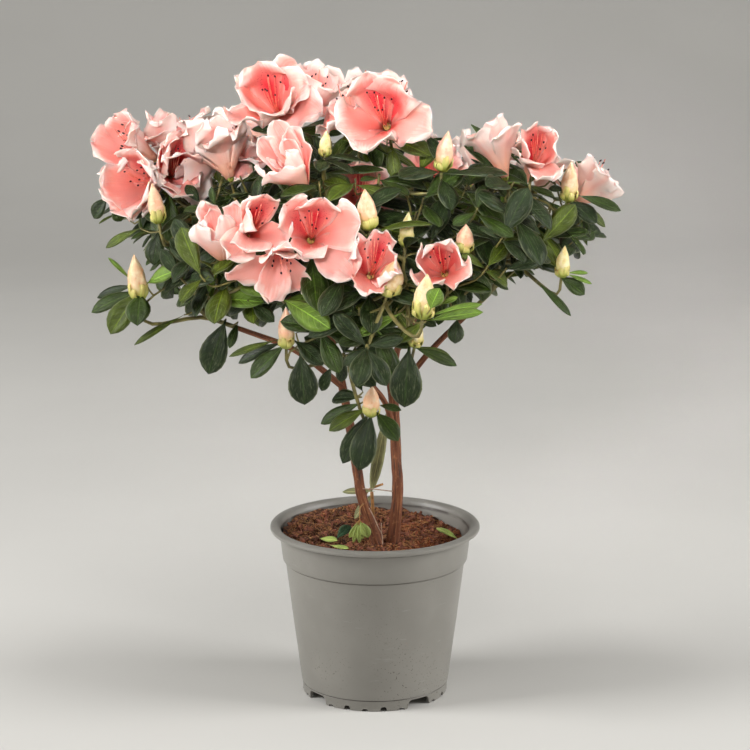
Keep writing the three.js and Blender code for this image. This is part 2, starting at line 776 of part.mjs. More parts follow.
const plant = new THREE.Group();
plant.add(meshOf("pot", potSolid(), LOOKS.plastic));
plant.add(meshOf("compost", soilSolid(), LOOKS.compost));
for (const [name, stem] of Object.entries(STEMS)) plant.add(meshOf(name, stemSolid(stem), LOOKS.bark));
for (const [name, bough] of Object.entries(BOUGHS)) plant.add(meshOf(name, boughSolid(bough), LOOKS.bark));
plant.add(meshOf("foot_sprout", sproutSolid(), LOOKS.sprout));
for (const mass of masses) plant.add(meshOf("foliage_" + mass.name, massSolid(mass), LOOKS.foliage));

export default plant;
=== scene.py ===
"""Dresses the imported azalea: its pot, compost, stems, twigs, leaves, blooms and buds.

Metres, +Z up, and -Y is the front. Growth is worked out in millimetres, as in the part's source.
"""

import functools
import math
from types import SimpleNamespace

import bmesh
import bpy
import numpy as np
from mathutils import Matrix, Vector, noise


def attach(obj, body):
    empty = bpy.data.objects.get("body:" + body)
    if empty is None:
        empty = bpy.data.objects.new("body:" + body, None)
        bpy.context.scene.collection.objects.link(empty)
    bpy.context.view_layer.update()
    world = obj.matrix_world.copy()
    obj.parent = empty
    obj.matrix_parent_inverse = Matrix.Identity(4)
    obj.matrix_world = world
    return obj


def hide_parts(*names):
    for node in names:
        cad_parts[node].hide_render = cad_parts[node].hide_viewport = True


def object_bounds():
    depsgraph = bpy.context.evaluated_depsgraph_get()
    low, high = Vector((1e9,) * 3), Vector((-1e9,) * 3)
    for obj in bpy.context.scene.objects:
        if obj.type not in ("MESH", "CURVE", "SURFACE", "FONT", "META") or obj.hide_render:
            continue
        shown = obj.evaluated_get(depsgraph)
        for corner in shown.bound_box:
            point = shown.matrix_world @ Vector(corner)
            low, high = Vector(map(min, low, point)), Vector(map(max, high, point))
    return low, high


bl_info = {
    "name": "Potted azalea",
    "version": (1, 0, 0),
    "blender": (4, 5, 0),
    "location": "3D View > Sidebar > Azalea",
    "description": "A flowering azalea shrub in its nursery pot",
    "category": "Add Mesh",
}

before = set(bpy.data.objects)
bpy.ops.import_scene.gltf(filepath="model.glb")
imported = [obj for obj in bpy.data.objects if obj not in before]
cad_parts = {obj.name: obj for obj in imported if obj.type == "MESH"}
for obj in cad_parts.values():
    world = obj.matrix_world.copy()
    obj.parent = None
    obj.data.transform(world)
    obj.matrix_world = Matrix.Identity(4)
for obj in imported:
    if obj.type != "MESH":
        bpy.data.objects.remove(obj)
CAD_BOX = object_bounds()
MM = 0.001
UP = np.array([0.0, 0.0, 1.0])


# Sizes and colours


def linear(hex_colour):
    """An sRGB hex colour as linear red, green, blue and alpha."""
    parts = [int(hex_colour[i : i + 2], 16) / 255 for i in (1, 3, 5)]
    return (*[c / 12.92 if c <= 0.04045 else ((c + 0.055) / 1.055) ** 2.4 for c in parts], 1.0)


def length_property(name, description, millimetres):
    return bpy.props.FloatProperty(
        name=name, description=description, default=millimetres * MM, min=0, subtype="DISTANCE", unit="LENGTH"
    )


def share_property(name, description, value, low, high):
    return bpy.props.FloatProperty(name=name, description=description, default=value, min=low, max=high)


def colour_property(name, description, hex_colour):
    return bpy.props.FloatVectorProperty(
        name=name, description=description, default=linear(hex_colour), size=4, min=0, max=1, subtype="COLOR"
    )


class AzaleaSizes(bpy.types.PropertyGroup):
    leaf_short: length_property("Shortest leaf", "Length of the smallest leaves of a whorl", 22)
    leaf_long: length_property("Longest leaf", "Length of the largest leaves of a whorl", 43)
    petal_thickness: length_property("Petal thickness", "Thickness of a lobe of a bloom", 0.35)
    filament_width: length_property("Filament width", "Width of the thread that carries an anther", 0.55)
    bark_relief: length_property("Bark relief", "Depth of the lengthwise fissures in the stems", 0.45)
    peat_lumps: length_property("Peat lumps", "Height of the lumps on top of the compost", 1.6)
    leaf_ratio: share_property("Leaf breadth", "Breadth of a leaf as a share of its length", 0.42, 0.2, 0.8)
    ruffle: share_property("Ruffle", "How strongly the edges of the lobes wave", 1.0, 0, 2)


class AzaleaColours(bpy.types.PropertyGroup):
    pot: colour_property("Pot", "Warm mid grey of the moulded pot", "#8B8881")
    peat: colour_property("Peat", "Brown of the damp compost", "#613A24")
    bark: colour_property("Bark", "Red brown of the flaking stems", "#743F22")
    young_bark: colour_property("Young bark", "Olive of the twigs", "#6C6433")
    leaf_deep: colour_property("Deep leaf", "Old leaves, nearly blue green", "#1C2A0D")
    leaf_green: colour_property("Green leaf", "Full-grown leaves", "#2A3B0C")
    leaf_olive: colour_property("Olive leaf", "Leaves in their first year", "#455210")
    leaf_young: colour_property("Young leaf", "Leaves that have just opened", "#5F7A28")
    petal: colour_property("Petal", "Salmon pink of the lobes", "#F19E93")
    petal_edge: colour_property("Petal edge", "White of the lobes' margins", "#F6DED5")
    throat: colour_property("Throat", "Coral red of the blotch in the throat", "#E23448")
    anther: colour_property("Anther", "Dark maroon of the anthers", "#2E0D14")
    floor: colour_property("Floor", "Pale floor of the stage", "#D8D6D1")


# The camera, and the pixels of the photograph

CAMERA_PLACE = (0, -1.554, 0.555)
CAMERA_PITCH = 12.8
CAMERA_LENS = 124.6
CAMERA_SENSOR = 36
PHOTO_WIDTH = 750
PHOTO_MIDDLE = PHOTO_WIDTH / 2
FOCAL_PIXELS = CAMERA_LENS / CAMERA_SENSOR * PHOTO_WIDTH

EYE = np.array(CAMERA_PLACE) / MM
PITCH = math.radians(CAMERA_PITCH)
AHEAD = np.array([0, math.cos(PITCH), -math.sin(PITCH)])
TOP = np.array([0, math.sin(PITCH), math.cos(PITCH)])


def sight(pixel):
    """The way from the camera through a pixel of the photograph."""
    u, v = pixel
    across = np.array([1.0, 0, 0]) * (u - PHOTO_MIDDLE) / FOCAL_PIXELS
    return AHEAD + across + TOP * (PHOTO_MIDDLE - v) / FOCAL_PIXELS


def seen_at(pixel, depth):
    """The place behind a pixel of the photograph, at a depth along Y."""
    way = sight(pixel)
    return EYE + way * (depth - EYE[1]) / way[1]


def seen_pixels(places):
    """The pixels of the photograph that places lie behind."""
    way = np.asarray(places, float) - EYE
    far = way @ AHEAD
    return PHOTO_MIDDLE + FOCAL_PIXELS * way[:, 0] / far, PHOTO_MIDDLE - FOCAL_PIXELS * (way @ TOP) / far


# Limbs, masses and the numbers of their growth, as in the part's source

SOIL_LEVEL = 98
SOIL_FLAT_RADIUS = 20
SOIL_TILT = 0.07
SOIL_BUMP = 1.1
CROWN_CENTRE = np.array([-12, 0, 262])
CROWN_RADII = np.array([168, 150, 135])
CROWN_REACH = 1.05
UNDERSIDE = 220
EDGE_RISE = (0.25, 0.4)
LEAFY_TOP = 338
SHOOT_SPACING = 30
SHELL = (0.5, 0.88)
TRIES = 600
TWIG_RADII = (1.3, 0.9)
SHOOT_LENGTH = 9
STEM_START = 16
PEDICEL = 7
CLUSTER_REACH = 20
LEAF_TRIES = 7
LEAF_LEAN = (50, 115)
DROOP = (0.1, 0.6)
DROOP_HEIGHTS = (285, 195)
GAP = 0.3
BOUGH_RADII = (2.1, 1.5)
SPOTS_PER_LIMB = 24

STEMS = {
    "stem_left": {
        "path": [
            (2.5, -13, 95), (-2, -12, 108), (-6, -11, 120), (-9, -10, 131), (-11, -8, 145), (-21, -4, 201),
            (-30, -4, 238),
        ],
        "radii": (3.7, 2.3),
    },
    "stem_right": {
        "path": [
            (10.5, -9.5, 95), (12.5, -10, 112), (14, -9.5, 131), (13, -8, 153), (11.5, -6, 185), (8, -4, 215),
            (8, -4, 240),
        ],
        "radii": (3.9, 2.5),
    },
}
FLARE = 0.9
BOUGHS = {
    "bough_left_low": [(-20, -5, 196), (-48, -22, 222), (-84, -42, 241)],
    "bough_left_top": [(-28, -4, 229), (-52, -12, 262), (-88, -18, 292)],
    "bough_top_left": [(-30, -4, 236), (-36, -10, 272), (-44, -22, 312)],
    "bough_front_left": [(-23, -4, 208), (-38, -38, 242), (-57, -82, 274)],
    "bough_back_left": [(-26, -4, 222), (-42, 26, 258), (-62, 50, 288)],
    "bough_front_low": [(12.5, -7, 165), (6, -22, 190), (-8, -44, 212)],
    "bough_front_right": [(10, -5, 196), (14, -36, 230), (17, -80, 266)],
    "bough_right_low": [(11, -6, 188), (34, -20, 222), (58, -36, 250)],
    "bough_right_top": [(8, -4, 222), (40, -13, 262), (83, -32, 305)],
    "bough_top_centre": [(8, -4, 238), (10, -14, 272), (12, -28, 306)],
    "bough_back_centre": [(8, -4, 230), (4, 24, 266), (2, 50, 300)],
    "bough_back_right": [(9, -4, 210), (32, 18, 248), (56, 40, 284)],
}

# Each mass: its middle, its leafy shoots, and its blooms and buds. A bloom or bud is its place, the
# way it faces, its width and its depth.
MASSES = {
    "left_top": {
        "middle": (-124, -24, 326),
        "shoots": 4,
        "blooms": [
            ((-152, -8, 345), (-0.85, -0.35, 0.4), 54, 24),
            ((-126, 12, 352), (0.05, -0.3, 0.95), 50, 24),
            ((-139, -56, 329), (-0.45, -0.85, 0.05), 58, 24),
            ((-114, -44, 338), (0.35, -0.8, 0.4), 54, 24),
            ((-92, -40, 352), (-0.3, 0.35, 0.85), 58, 24),
            ((-76, -22, 350), (0.5, -0.35, 0.75), 44, 24),
        ],
        "buds": [((-126, -80, 322), (-0.15, -0.1, 1), 9, 22)],
    },
    "left_low": {
        "middle": (-118, -58, 262),
        "shoots": 6,
        "blooms": [],
        "buds": [((-139, -66, 276), (-0.1, -0.05, 1), 11, 26)],
    },
    "top_left": {
        "middle": (-50, -36, 350),
        "shoots": 4,
        "blooms": [
            ((-62, -45, 379), (-0.25, -0.75, 0.6), 62, 25),
            ((-32, -8, 380), (0.45, -0.4, 0.75), 50, 24),
            ((-54, -94, 355), (-0.5, -0.3, 0.8), 30, 30),
        ],
        "buds": [((-28, -84, 357), (0.1, -0.2, 1), 7, 14)],
    },
    "top_centre": {
        "middle": (12, -46, 344),
        "shoots": 4,
        "blooms": [
            ((2, -75, 373), (-0.2, -0.85, 0.45), 64, 25),
            ((18, -28, 375), (0.7, -0.1, 0.6), 46, 24),
            ((-22, -48, 375), (-0.6, -0.15, 0.7), 40, 26),
            ((-9, -44, 325), (0, -0.7, 0.6), 38, 24),
            ((37, -8, 336), (0.3, -0.5, 0.8), 40, 24),
        ],
        "buds": [((40, -86, 353), (0.15, -0.1, 1), 10, 22)],
    },
    "front_left": {
        "middle": (-62, -106, 298),
        "shoots": 3,
        "blooms": [
            ((-91, -110, 320), (-0.15, -0.3, 0.95), 28, 30),
            ((-64, -122, 318), (0.4, -0.75, 0.5), 48, 24),
            ((-35, -128, 315), (0.05, -0.88, 0.45), 56, 24),
            ((-52, -128, 292), (0.1, -0.78, -0.6), 44, 22),
        ],
        "buds": [],
    },
    "front_right": {
        "middle": (20, -108, 288),
        "shoots": 4,
        "blooms": [
            ((0, -134, 299), (0.1, -0.8, 0.55), 36, 26),
            ((36, -130, 296), (-0.15, -0.85, 0.45), 42, 24),
        ],
        "buds": [
            ((17, -128, 293), (0.2, -0.4, 0.85), 14, 22),
            ((28, -128, 277), (0.1, -0.1, 1), 12, 24),
            ((24, -110, 251), (0.2, -0.1, 1), 8, 13),
            ((-12, -120, 322), (-0.1, -0.1, 1), 11, 22),
            ((18, -110, 312), (0.1, 0, 1), 8, 18),
        ],
    },
    "front_low": {
        "middle": (-26, -70, 232),
        "shoots": 3,
        "blooms": [],
        "buds": [
            ((-51, -98, 253), (0, -0.1, 1), 9, 23),
            ((-2, -62, 201), (0.05, -0.25, 1), 10, 18),
        ],
    },
    "right_top": {
        "middle": (106, -44, 326),
        "shoots": 6,
        "blooms": [
            ((69, -62, 358), (-0.25, 0.15, 0.95), 46, 25),
            ((94, -70, 352), (0.1, -0.7, 0.65), 44, 24),
            ((135, -18, 327), (0.75, 0.3, 0.55), 38, 26),
        ],
        "buds": [((114, -50, 330), (0.05, -0.05, 1), 10, 22)],
    },
    "right_low": {
        "middle": (88, -66, 276),
        "shoots": 7,
        "blooms": [],
        "buds": [
            ((51, -105, 306), (0.05, -0.1, 1), 10, 15),
            ((109, -74, 287), (0.1, 0, 1), 8, 17),
        ],
    },
    "back_left": {
        "middle": (-92, 74, 312),
        "shoots": 7,
        "blooms": [
            ((-122, 66, 342), (-0.6, 0.5, 0.65), 54, 24),
            ((-84, 108, 338), (-0.2, 0.85, 0.5), 52, 24),
            ((-58, 70, 368), (-0.15, 0.35, 0.92), 50, 24),
        ],
        "buds": [((-136, 56, 296), (-0.3, 0.1, 0.95), 10, 22)],
    },
    "back_centre": {
        "middle": (0, 86, 334),
        "shoots": 6,
        "blooms": [
            ((-6, 62, 376), (0.05, 0.25, 0.97), 54, 24),
            ((14, 124, 328), (0.1, 0.9, 0.4), 56, 24),
        ],
        "buds": [((-34, 118, 318), (-0.1, 0.4, 0.9), 10, 22)],
    },
    "back_right": {
        "middle": (86, 68, 308),
        "shoots": 7,
        "blooms": [
            ((66, 62, 330), (0.1, 0.3, 0.95), 46, 24),
            ((108, 72, 326), (0.65, 0.5, 0.55), 50, 24),
        ],
        "buds": [((62, 112, 310), (0.2, 0.5, 0.85), 10, 22)],
    },
}
FOLIAGE = ["foliage_" + name for name in MASSES]

# What the scene adds to the source's growth: finer twigs, and more leaves in each whorl
FINE_SHOOTS = 18
FINE_SPACING = 17
FINE_SHELL = (0.3, 0.94)
FINE_TRIES = 1500
FINE_RADII = (0.75, 0.5)
WHORL = 7
FINE_WHORL = 5
LEAF_ROOM = 6.5

# How low the leaves of the rule hang, as pixels of the photograph: across, and down
LOWEST_LEAVES = [
    (89, 220), (118, 230), (140, 258), (165, 295), (190, 314), (240, 319), (290, 334), (325, 350),
    (345, 395), (395, 400), (410, 350), (432, 330), (450, 320), (472, 302), (500, 288), (540, 276),
    (575, 264), (600, 235), (624, 212),
]

# Leaves that the photograph shows one by one, in sprays at a depth along Y. Each is the pixels of its
# root and tip, how much nearer the tip is than the root, its breadth, and its tone.
SEEN_LEAVES = [
    (-66, [
        ((140, 290), (108, 334), 10, 15.5, "olive"), ((140, 292), (137, 324), 20, 15, "green"),
        ((138, 290), (88, 311), 0, 10, "green"), ((136, 285), (93, 296), -10, 7, "deep"),
        ((132, 281), (108, 256), 0, 3, "young"), ((146, 284), (175, 268), 14, 11, "young"),
        ((184, 315), (130, 344), 0, 5, "olive"), ((140, 228), (103, 247), 0, 6.5, "olive"),
        ((158, 230), (153, 266), 6, 12, "deep"), ((189, 270), (163, 291), 6, 5, "deep"),
        ((201, 275), (181, 303), 6, 10, "deep"),
    ]),
    (-30, [((108, 196), (92, 219), 0, 10, "deep"), ((113, 204), (122, 222), 0, 9, "green")]),
    (-50, [
        ((226, 319), (206, 376), 5, 17.5, "deep"), ((238, 322), (229, 348), 10, 6, "green"),
        ((577, 195), (623, 209), 5, 7.5, "green"), ((566, 190), (548, 188), 0, 5, "deep"),
        ((567, 200), (599, 222), 5, 11, "deep"),
        ((575, 200), (609, 227), -5, 6, "olive"), ((537, 236), (592, 229), 0, 8, "green"),
    ]),
    (-97, [
        ((277, 340), (226, 355), 0, 5, "olive"), ((283, 342), (234, 362), -8, 8, "deep"),
        ((286, 344), (248, 378), 4, 11.5, "green"), ((294, 340), (324, 364), 12, 11.5, "deep"),
        ((296, 333), (329, 324), -10, 7, "deep"), ((300, 352), (305, 407), 5, 17.5, "deep"),
        ((332, 366), (320, 392), 0, 7.5, "deep"),
    ]),
    (-60, [
        ((370, 411), (340, 465), 5, 12.5, "deep"), ((372, 412), (358, 472), 12, 16.3, "deep"),
        ((375, 411), (399, 440), 15, 11.3, "green"), ((367, 408), (327, 430), 5, 10, "olive"),
        ((363, 402), (317, 423), -5, 9, "green"), ((362, 397), (329, 397), -14, 11, "deep"),
        ((363, 392), (352, 374), -12, 6.5, "deep"), ((378, 405), (401, 409), 10, 5, "green"),
    ]),
    (-112, [
        ((409, 346), (404, 410), 5, 19, "deep"), ((413, 347), (458, 364), 10, 7.5, "green"),
        ((415, 346), (455, 358), -5, 6, "olive"), ((440, 305), (458, 296), 0, 4, "young"),
        ((457, 318), (455, 344), 6, 9.6, "deep"), ((402, 313), (354, 335), 8, 9, "young"),
        ((424, 322), (398, 342), 8, 8, "olive"),
    ]),
    (-146, [((426, 321), (484, 309), 4, 7, "young"), ((428, 316), (484, 301), -4, 5, "young")]),
    (-158, [((430, 310), (439, 288), 3, 10.5, "young")]),
    (-74, [
        ((559, 276), (586, 294), 5, 9.6, "green"), ((566, 273), (589, 272), 0, 3, "young"),
        ((566, 274), (593, 283), 5, 3, "young"), ((567, 258), (573, 246), -8, 6, "deep"),
        ((558, 269), (540, 244), 0, 8, "olive"), ((536, 281), (574, 316), 4, 5, "green"),
        ((480, 272), (510, 289), 4, 5, "green"), ((469, 278), (480, 292), 4, 6, "green"),
    ]),
]
# Buds that stand nearer to the camera than in the source, before a bloom, by mass and number
NEARER_BUDS = {("front_right", 1): 22}
# A whorl of the rule is left out this near to such a leaf: round a bud, and elsewhere
BUD_REACH = 20
SEEN_REACH = 9
# two twigs start from one place when they start this near to each other
NODE_REACH = 2.6
# how far below its tip a shoot's leaves reach
LEAF_DROP = 8
STALK_RADII = (0.6, 0.45)

# Tips of the lobes that the photograph shows, as its pixels, by mass and number of the bloom
SEEN_LOBES = {
    ("left_top", 0): [(91, 144), (102, 128), (114, 115), (134, 120), (109, 164)],
    ("left_top", 1): [(144, 136), (155, 123), (166, 117), (181, 119), (180, 148)],
    ("left_top", 2): [(111, 210), (137, 209), (154, 185), (133, 149), (102, 192)],
    ("left_top", 3): [(160, 184), (168, 146), (184, 130), (188, 153), (172, 197)],
    ("left_top", 4): [(189, 125), (207, 127), (227, 134), (192, 200), (179, 181)],
    ("left_top", 5): [(227, 125), (242, 127), (257, 145), (255, 163), (238, 180)],
    ("top_left", 0): [(236, 90), (258, 61), (294, 60), (308, 82), (320, 114), (284, 112), (232, 123)],
    ("top_left", 1): [(310, 64), (326, 71), (337, 91), (321, 114), (302, 71)],
    ("top_left", 2): [(273, 123), (290, 127), (260, 138), (254, 166), (270, 172)],
    ("top_centre", 0): [(335, 124), (368, 73), (398, 82), (431, 132), (372, 151)],
    ("top_centre", 1): [(383, 78), (402, 90), (409, 108), (390, 102), (369, 91)],
    ("front_left", 0): [(206, 202), (235, 201), (197, 224), (223, 215), (243, 223)],
    ("front_left", 1): [(267, 196), (247, 207), (228, 258), (250, 254), (288, 241)],
    ("front_left", 2): [(286, 202), (319, 198), (360, 225), (356, 275), (304, 256)],
    ("front_left", 3): [(228, 281), (266, 300), (298, 290), (275, 249), (300, 256)],
    ("front_right", 0): [(356, 243), (385, 231), (394, 252), (391, 276), (366, 292)],
    ("front_right", 1): [(416, 259), (435, 243), (457, 247), (468, 278), (418, 285)],
    ("right_top", 0): [(466, 136), (500, 117), (512, 126), (482, 141), (522, 147)],
    ("right_top", 1): [(538, 125), (558, 140), (522, 141), (550, 180), (523, 159)],
    ("right_top", 2): [(580, 171), (598, 165), (610, 178), (615, 182), (602, 196)],
}
# A lobe placed so is this much longer than the rule's, and narrower
SEEN_LOBE_LENGTH = 1.05
SEEN_LOBE_BREADTH = 0.92


# Growth


def unit(v):
    return np.asarray(v, float) / np.linalg.norm(v)


def between(pair, share):
    return pair[0] + (pair[1] - pair[0]) * share


def smoothstep(x, low, high):
    t = np.clip((x - low) / (high - low), 0, 1)
    return t * t * (3 - 2 * t)


def seeded(seed):
    """A repeatable stream of numbers from 0 to 1."""
    state = 1 + int(seed)

    def draw():
        nonlocal state
        state = state * 48271 % 2147483647
        return state / 2147483647

    return draw


def spaced_points(path, count):
    """Evenly spaced points on the smooth (centripetal) curve through a path."""
    p = np.asarray(path, float)
    p = np.vstack([2 * p[0] - p[1], p, 2 * p[-1] - p[-2]])
    steps = np.maximum(np.linalg.norm(np.diff(p, axis=0), axis=1) ** 0.5, 1e-4)

    def at(t):
        x = t * (len(path) - 1)
        i = min(int(x), len(path) - 2)
        w = x - i
        x0, x1, x2, x3 = p[i : i + 4]
        d0, d1, d2 = steps[i : i + 3]
        t1 = ((x1 - x0) / d0 - (x2 - x0) / (d0 + d1) + (x2 - x1) / d1) * d1
        t2 = ((x2 - x1) / d1 - (x3 - x1) / (d1 + d2) + (x3 - x2) / d2) * d1
        return x1 + w * (t1 + w * (-3 * x1 + 3 * x2 - 2 * t1 - t2 + w * (2 * x1 - 2 * x2 + t1 + t2)))

    shares = np.linspace(0, 1, 201)
    places = np.array([at(t) for t in shares])
    run = np.concatenate([[0], np.cumsum(np.linalg.norm(np.diff(places, axis=0), axis=1))])
    return np.array([at(t) for t in np.interp(np.linspace(0, run[-1], count + 1), run, shares)])


def frames_along(points):
    """Two directions across a line at each point, carried along it without twist."""
    points = np.asarray(points, float)
    ahead = np.vstack([points[1:], points[-1:]]) - np.vstack([points[:1], points[:-1]])
    normal, frames = np.array([0.3, 0.9, 0.2]), []
    for way in ahead:
        tangent = unit(way)
        normal = unit(normal - tangent * normal.dot(tangent))
        frames.append((normal, np.cross(normal, tangent)))
    return frames


def limb_spots():
    """Places along every limb with the radius there, which foliage keeps clear of."""
    limbs = [(stem["path"], stem["radii"]) for stem in STEMS.values()]
    limbs += [(path, BOUGH_RADII) for path in BOUGHS.values()]
    spots = []
    for path, radii in limbs:
        for i, at in enumerate(spaced_points(path, SPOTS_PER_LIMB)):
            spots.append((*at, between(radii, i / SPOTS_PER_LIMB)))
    return np.array(spots)


LIMBS = limb_spots()


def clear_of_limbs(place, clearance):
    return bool((np.linalg.norm(LIMBS[:, :3] - place, axis=1) > LIMBS[:, 3] + clearance).all())


def depth_in_space(place, name):
    """How far a place lies inside a mass's own space, which ends midway to each neighbour."""
    own = np.array(MASSES[name]["middle"])
    depths = []
    for other, mass in MASSES.items():
        if other != name:
            middle = np.array(mass["middle"])
            beyond = ((place - middle) ** 2).sum() - ((place - own) ** 2).sum()
            depths.append(beyond / (2 * np.linalg.norm(middle - own)))
    return min(depths)


def inside_bloom(place, bloom, margin):
    """True for a place inside a bloom's cup, or within a margin of it."""
    way = place - bloom.foot
    along = way.dot(bloom.facing)
    if along < 0 or along > bloom.depth + margin:
        return False
    across = math.sqrt(max(0, way.dot(way) - along * along))
    return across < bloom.width / 2 * min(1, along / bloom.depth) + margin


def seen_lobe_tip(bloom, pixel):
    """Where a lobe ends that the photograph shows at a pixel: as far from the foot as the others."""
    length = SEEN_LOBE_LENGTH * math.hypot(bloom.width / 2, bloom.depth)
    way = unit(sight(pixel))
    nearest = EYE + way * way.dot(bloom.foot - EYE)
    half_chord = math.sqrt(max(0, length**2 - ((nearest - bloom.foot) ** 2).sum()))
    mouth = bloom.foot + bloom.facing * bloom.depth
    ends = (nearest - way * half_chord, nearest + way * half_chord)
    return min(ends, key=lambda end: abs((end - mouth).dot(bloom.facing)))


def seen_lobe_ends(bloom):
    """Where the lobes of a bloom end, as far as the photograph shows them one by one."""
    return [seen_lobe_tip(bloom, pixel) for pixel in SEEN_LOBES.get(bloom.key, [])]


def lobe_places(bloom):
    """Places all over the lobes that the photograph shows, for leaves to keep away from."""
    places = []
    for end in seen_lobe_ends(bloom):
        sideways = unit(np.cross(bloom.facing, end - bloom.foot)) * bloom.width * 0.2
        for t in (0.4, 0.6, 0.8, 1):
            places += [bloom.foot + (end - bloom.foot) * t + sideways * s for s in (-0.8, 0, 0.8)]
    return places


def hides_bloom(places, blooms):
    """True if one of the places stands before a bloom in the photograph."""
    u, v = seen_pixels(places)
    far = (np.asarray(places) - EYE) @ AHEAD
    for bloom in blooms:
        if bloom.key in SEEN_LOBES:
            ends = np.array(SEEN_LOBES[bloom.key])
            middle = ends.mean(axis=0)
            reach = np.linalg.norm(ends - middle, axis=1).mean()
            mouth = bloom.foot + bloom.facing * bloom.depth
            before = far < max((place - EYE).dot(AHEAD) for place in (bloom.foot, mouth))
            if (before & (np.hypot(u - middle[0], v - middle[1]) < 0.9 * reach)).any():
                return True
    return False


def random_shoot(draw, shell):
    """A random place in the crown's shell, or None above or below its leaves, and the way out of it."""
    turn = draw() * 2 * math.pi
    rise = draw() * 1.5 - 0.5
    share = between(shell, draw() ** (1 / 3))
    flat = math.sqrt(max(0, 1 - rise * rise))
    out = np.array([flat * math.cos(turn), flat * math.sin(turn), rise])
    at = CROWN_CENTRE + out * CROWN_RADII * share
    underside = UNDERSIDE + max(-at[0] * EDGE_RISE[0], at[0] * EDGE_RISE[1])
    return (None if at[2] > LEAFY_TOP or at[2] < underside else at), out


def hangs_low(places):
    """True for each place below or beside the leaves that the photograph shows."""
    u, v = seen_pixels(places)
    across, down = np.array(LOWEST_LEAVES).T
    return (v > np.interp(u, across, down)) | (u < across[0]) | (u > across[-1])


def clear_buds(tips, blooms):
    """Moves a bud that stands in a bloom's cup out to the side of it."""
    for tip in tips:
        if not tip.bud:
            continue
        for bloom in blooms:
            for _ in range(8):
                places = [tip.at + tip.facing * tip.bud[1] * t for t in (0.1, 0.5, 0.9)]
                if not any(inside_bloom(place, bloom, tip.bud[0] / 2 + 1) for place in places):
                    break
                way = places[1] - bloom.foot
                tip.at = tip.at + 2 * unit(way - bloom.facing * way.dot(bloom.facing))


def shoot_tip(at, facing, blooms=(), bud=None, fine=False):
    """The end of a shoot, the way it faces, and the blooms or the bud that it carries."""
    return SimpleNamespace(at=at, facing=facing, blooms=list(blooms), bud=bud, fine=fine)


def shoot_tips(name, mass, seed):
    """Where a mass's shoots end, and the blooms or bud that each carries."""
    tips = []
    for number, (mouth, faces, width, depth) in enumerate(mass["blooms"]):
        facing = unit(faces)
        bloom = SimpleNamespace(
            foot=np.array(mouth) - facing * depth, facing=facing, width=width, depth=depth, key=(name, number)
        )
        near = [t for t in tips if t.blooms and np.linalg.norm(t.at - bloom.foot) < CLUSTER_REACH]
        if near:
            near[0].blooms.append(bloom)
        else:
            at = bloom.foot - facing * PEDICEL - UP * 2
            tips.append(shoot_tip(at, unit(facing + UP), blooms=[bloom]))
    for number, (middle, faces, width, depth) in enumerate(mass["buds"]):
        facing = unit(faces)
        at = np.array(middle) - facing * depth / 2
        at = at + unit(EYE - at) * NEARER_BUDS.get((name, number), 0)
        tips.append(shoot_tip(at, facing, bud=(width, depth)))
    draw = seeded(seed)
    wanted = len(tips) + mass["shoots"]
    for _ in range(TRIES):
        if len(tips) == wanted:
            break
        at, out = random_shoot(draw, SHELL)
        if at is None or depth_in_space(at, name) < 6 or not clear_of_limbs(at, 9):
            continue
        if any(np.linalg.norm(t.at - at) < SHOOT_SPACING for t in tips):
            continue
        if any(inside_bloom(at, bloom, 8) for t in tips for bloom in t.blooms):
            continue
        tips.append(shoot_tip(at, unit(out + UP * 0.7)))
    return tips


def fine_tips(name, seed, tips, blooms):
    """Where the finer twigs end, between the shoots of the source."""
    found = []
    draw = seeded(seed + 5000)
    for _ in range(FINE_TRIES):
        if len(found) == FINE_SHOOTS:
            break
        at, out = random_shoot(draw, FINE_SHELL)
        if at is None or hangs_low([at - UP * LEAF_DROP])[0]:
            continue
        if depth_in_space(at, name) < 2 or not clear_of_limbs(at, 6):
            continue
        if any(np.linalg.norm(t.at - at) < FINE_SPACING for t in tips + found):
            continue
        if any(inside_bloom(at, bloom, 7) for bloom in blooms) or hides_bloom([at], blooms):
            continue
        found.append(shoot_tip(at, unit(out + UP * 0.7), fine=True))
    return found


def twig_line(node, tip, count):
    """A twig leans from its parent's line towards its tip, and ends in a straight leafy shoot."""
    way = tip.at - node.at
    reach = 0.35 * np.linalg.norm(way)
    leaves = unit(unit(way) * 0.5 + node.along)
    collar = tip.at - tip.facing * SHOOT_LENGTH
    corners = [node.at - leaves, node.at + leaves * reach, collar - tip.facing * reach, collar]
    t = np.linspace(0, 1, count + 1)[:, None]
    return sum(math.comb(3, i) * t**i * (1 - t) ** (3 - i) * corner for i, corner in enumerate(corners))


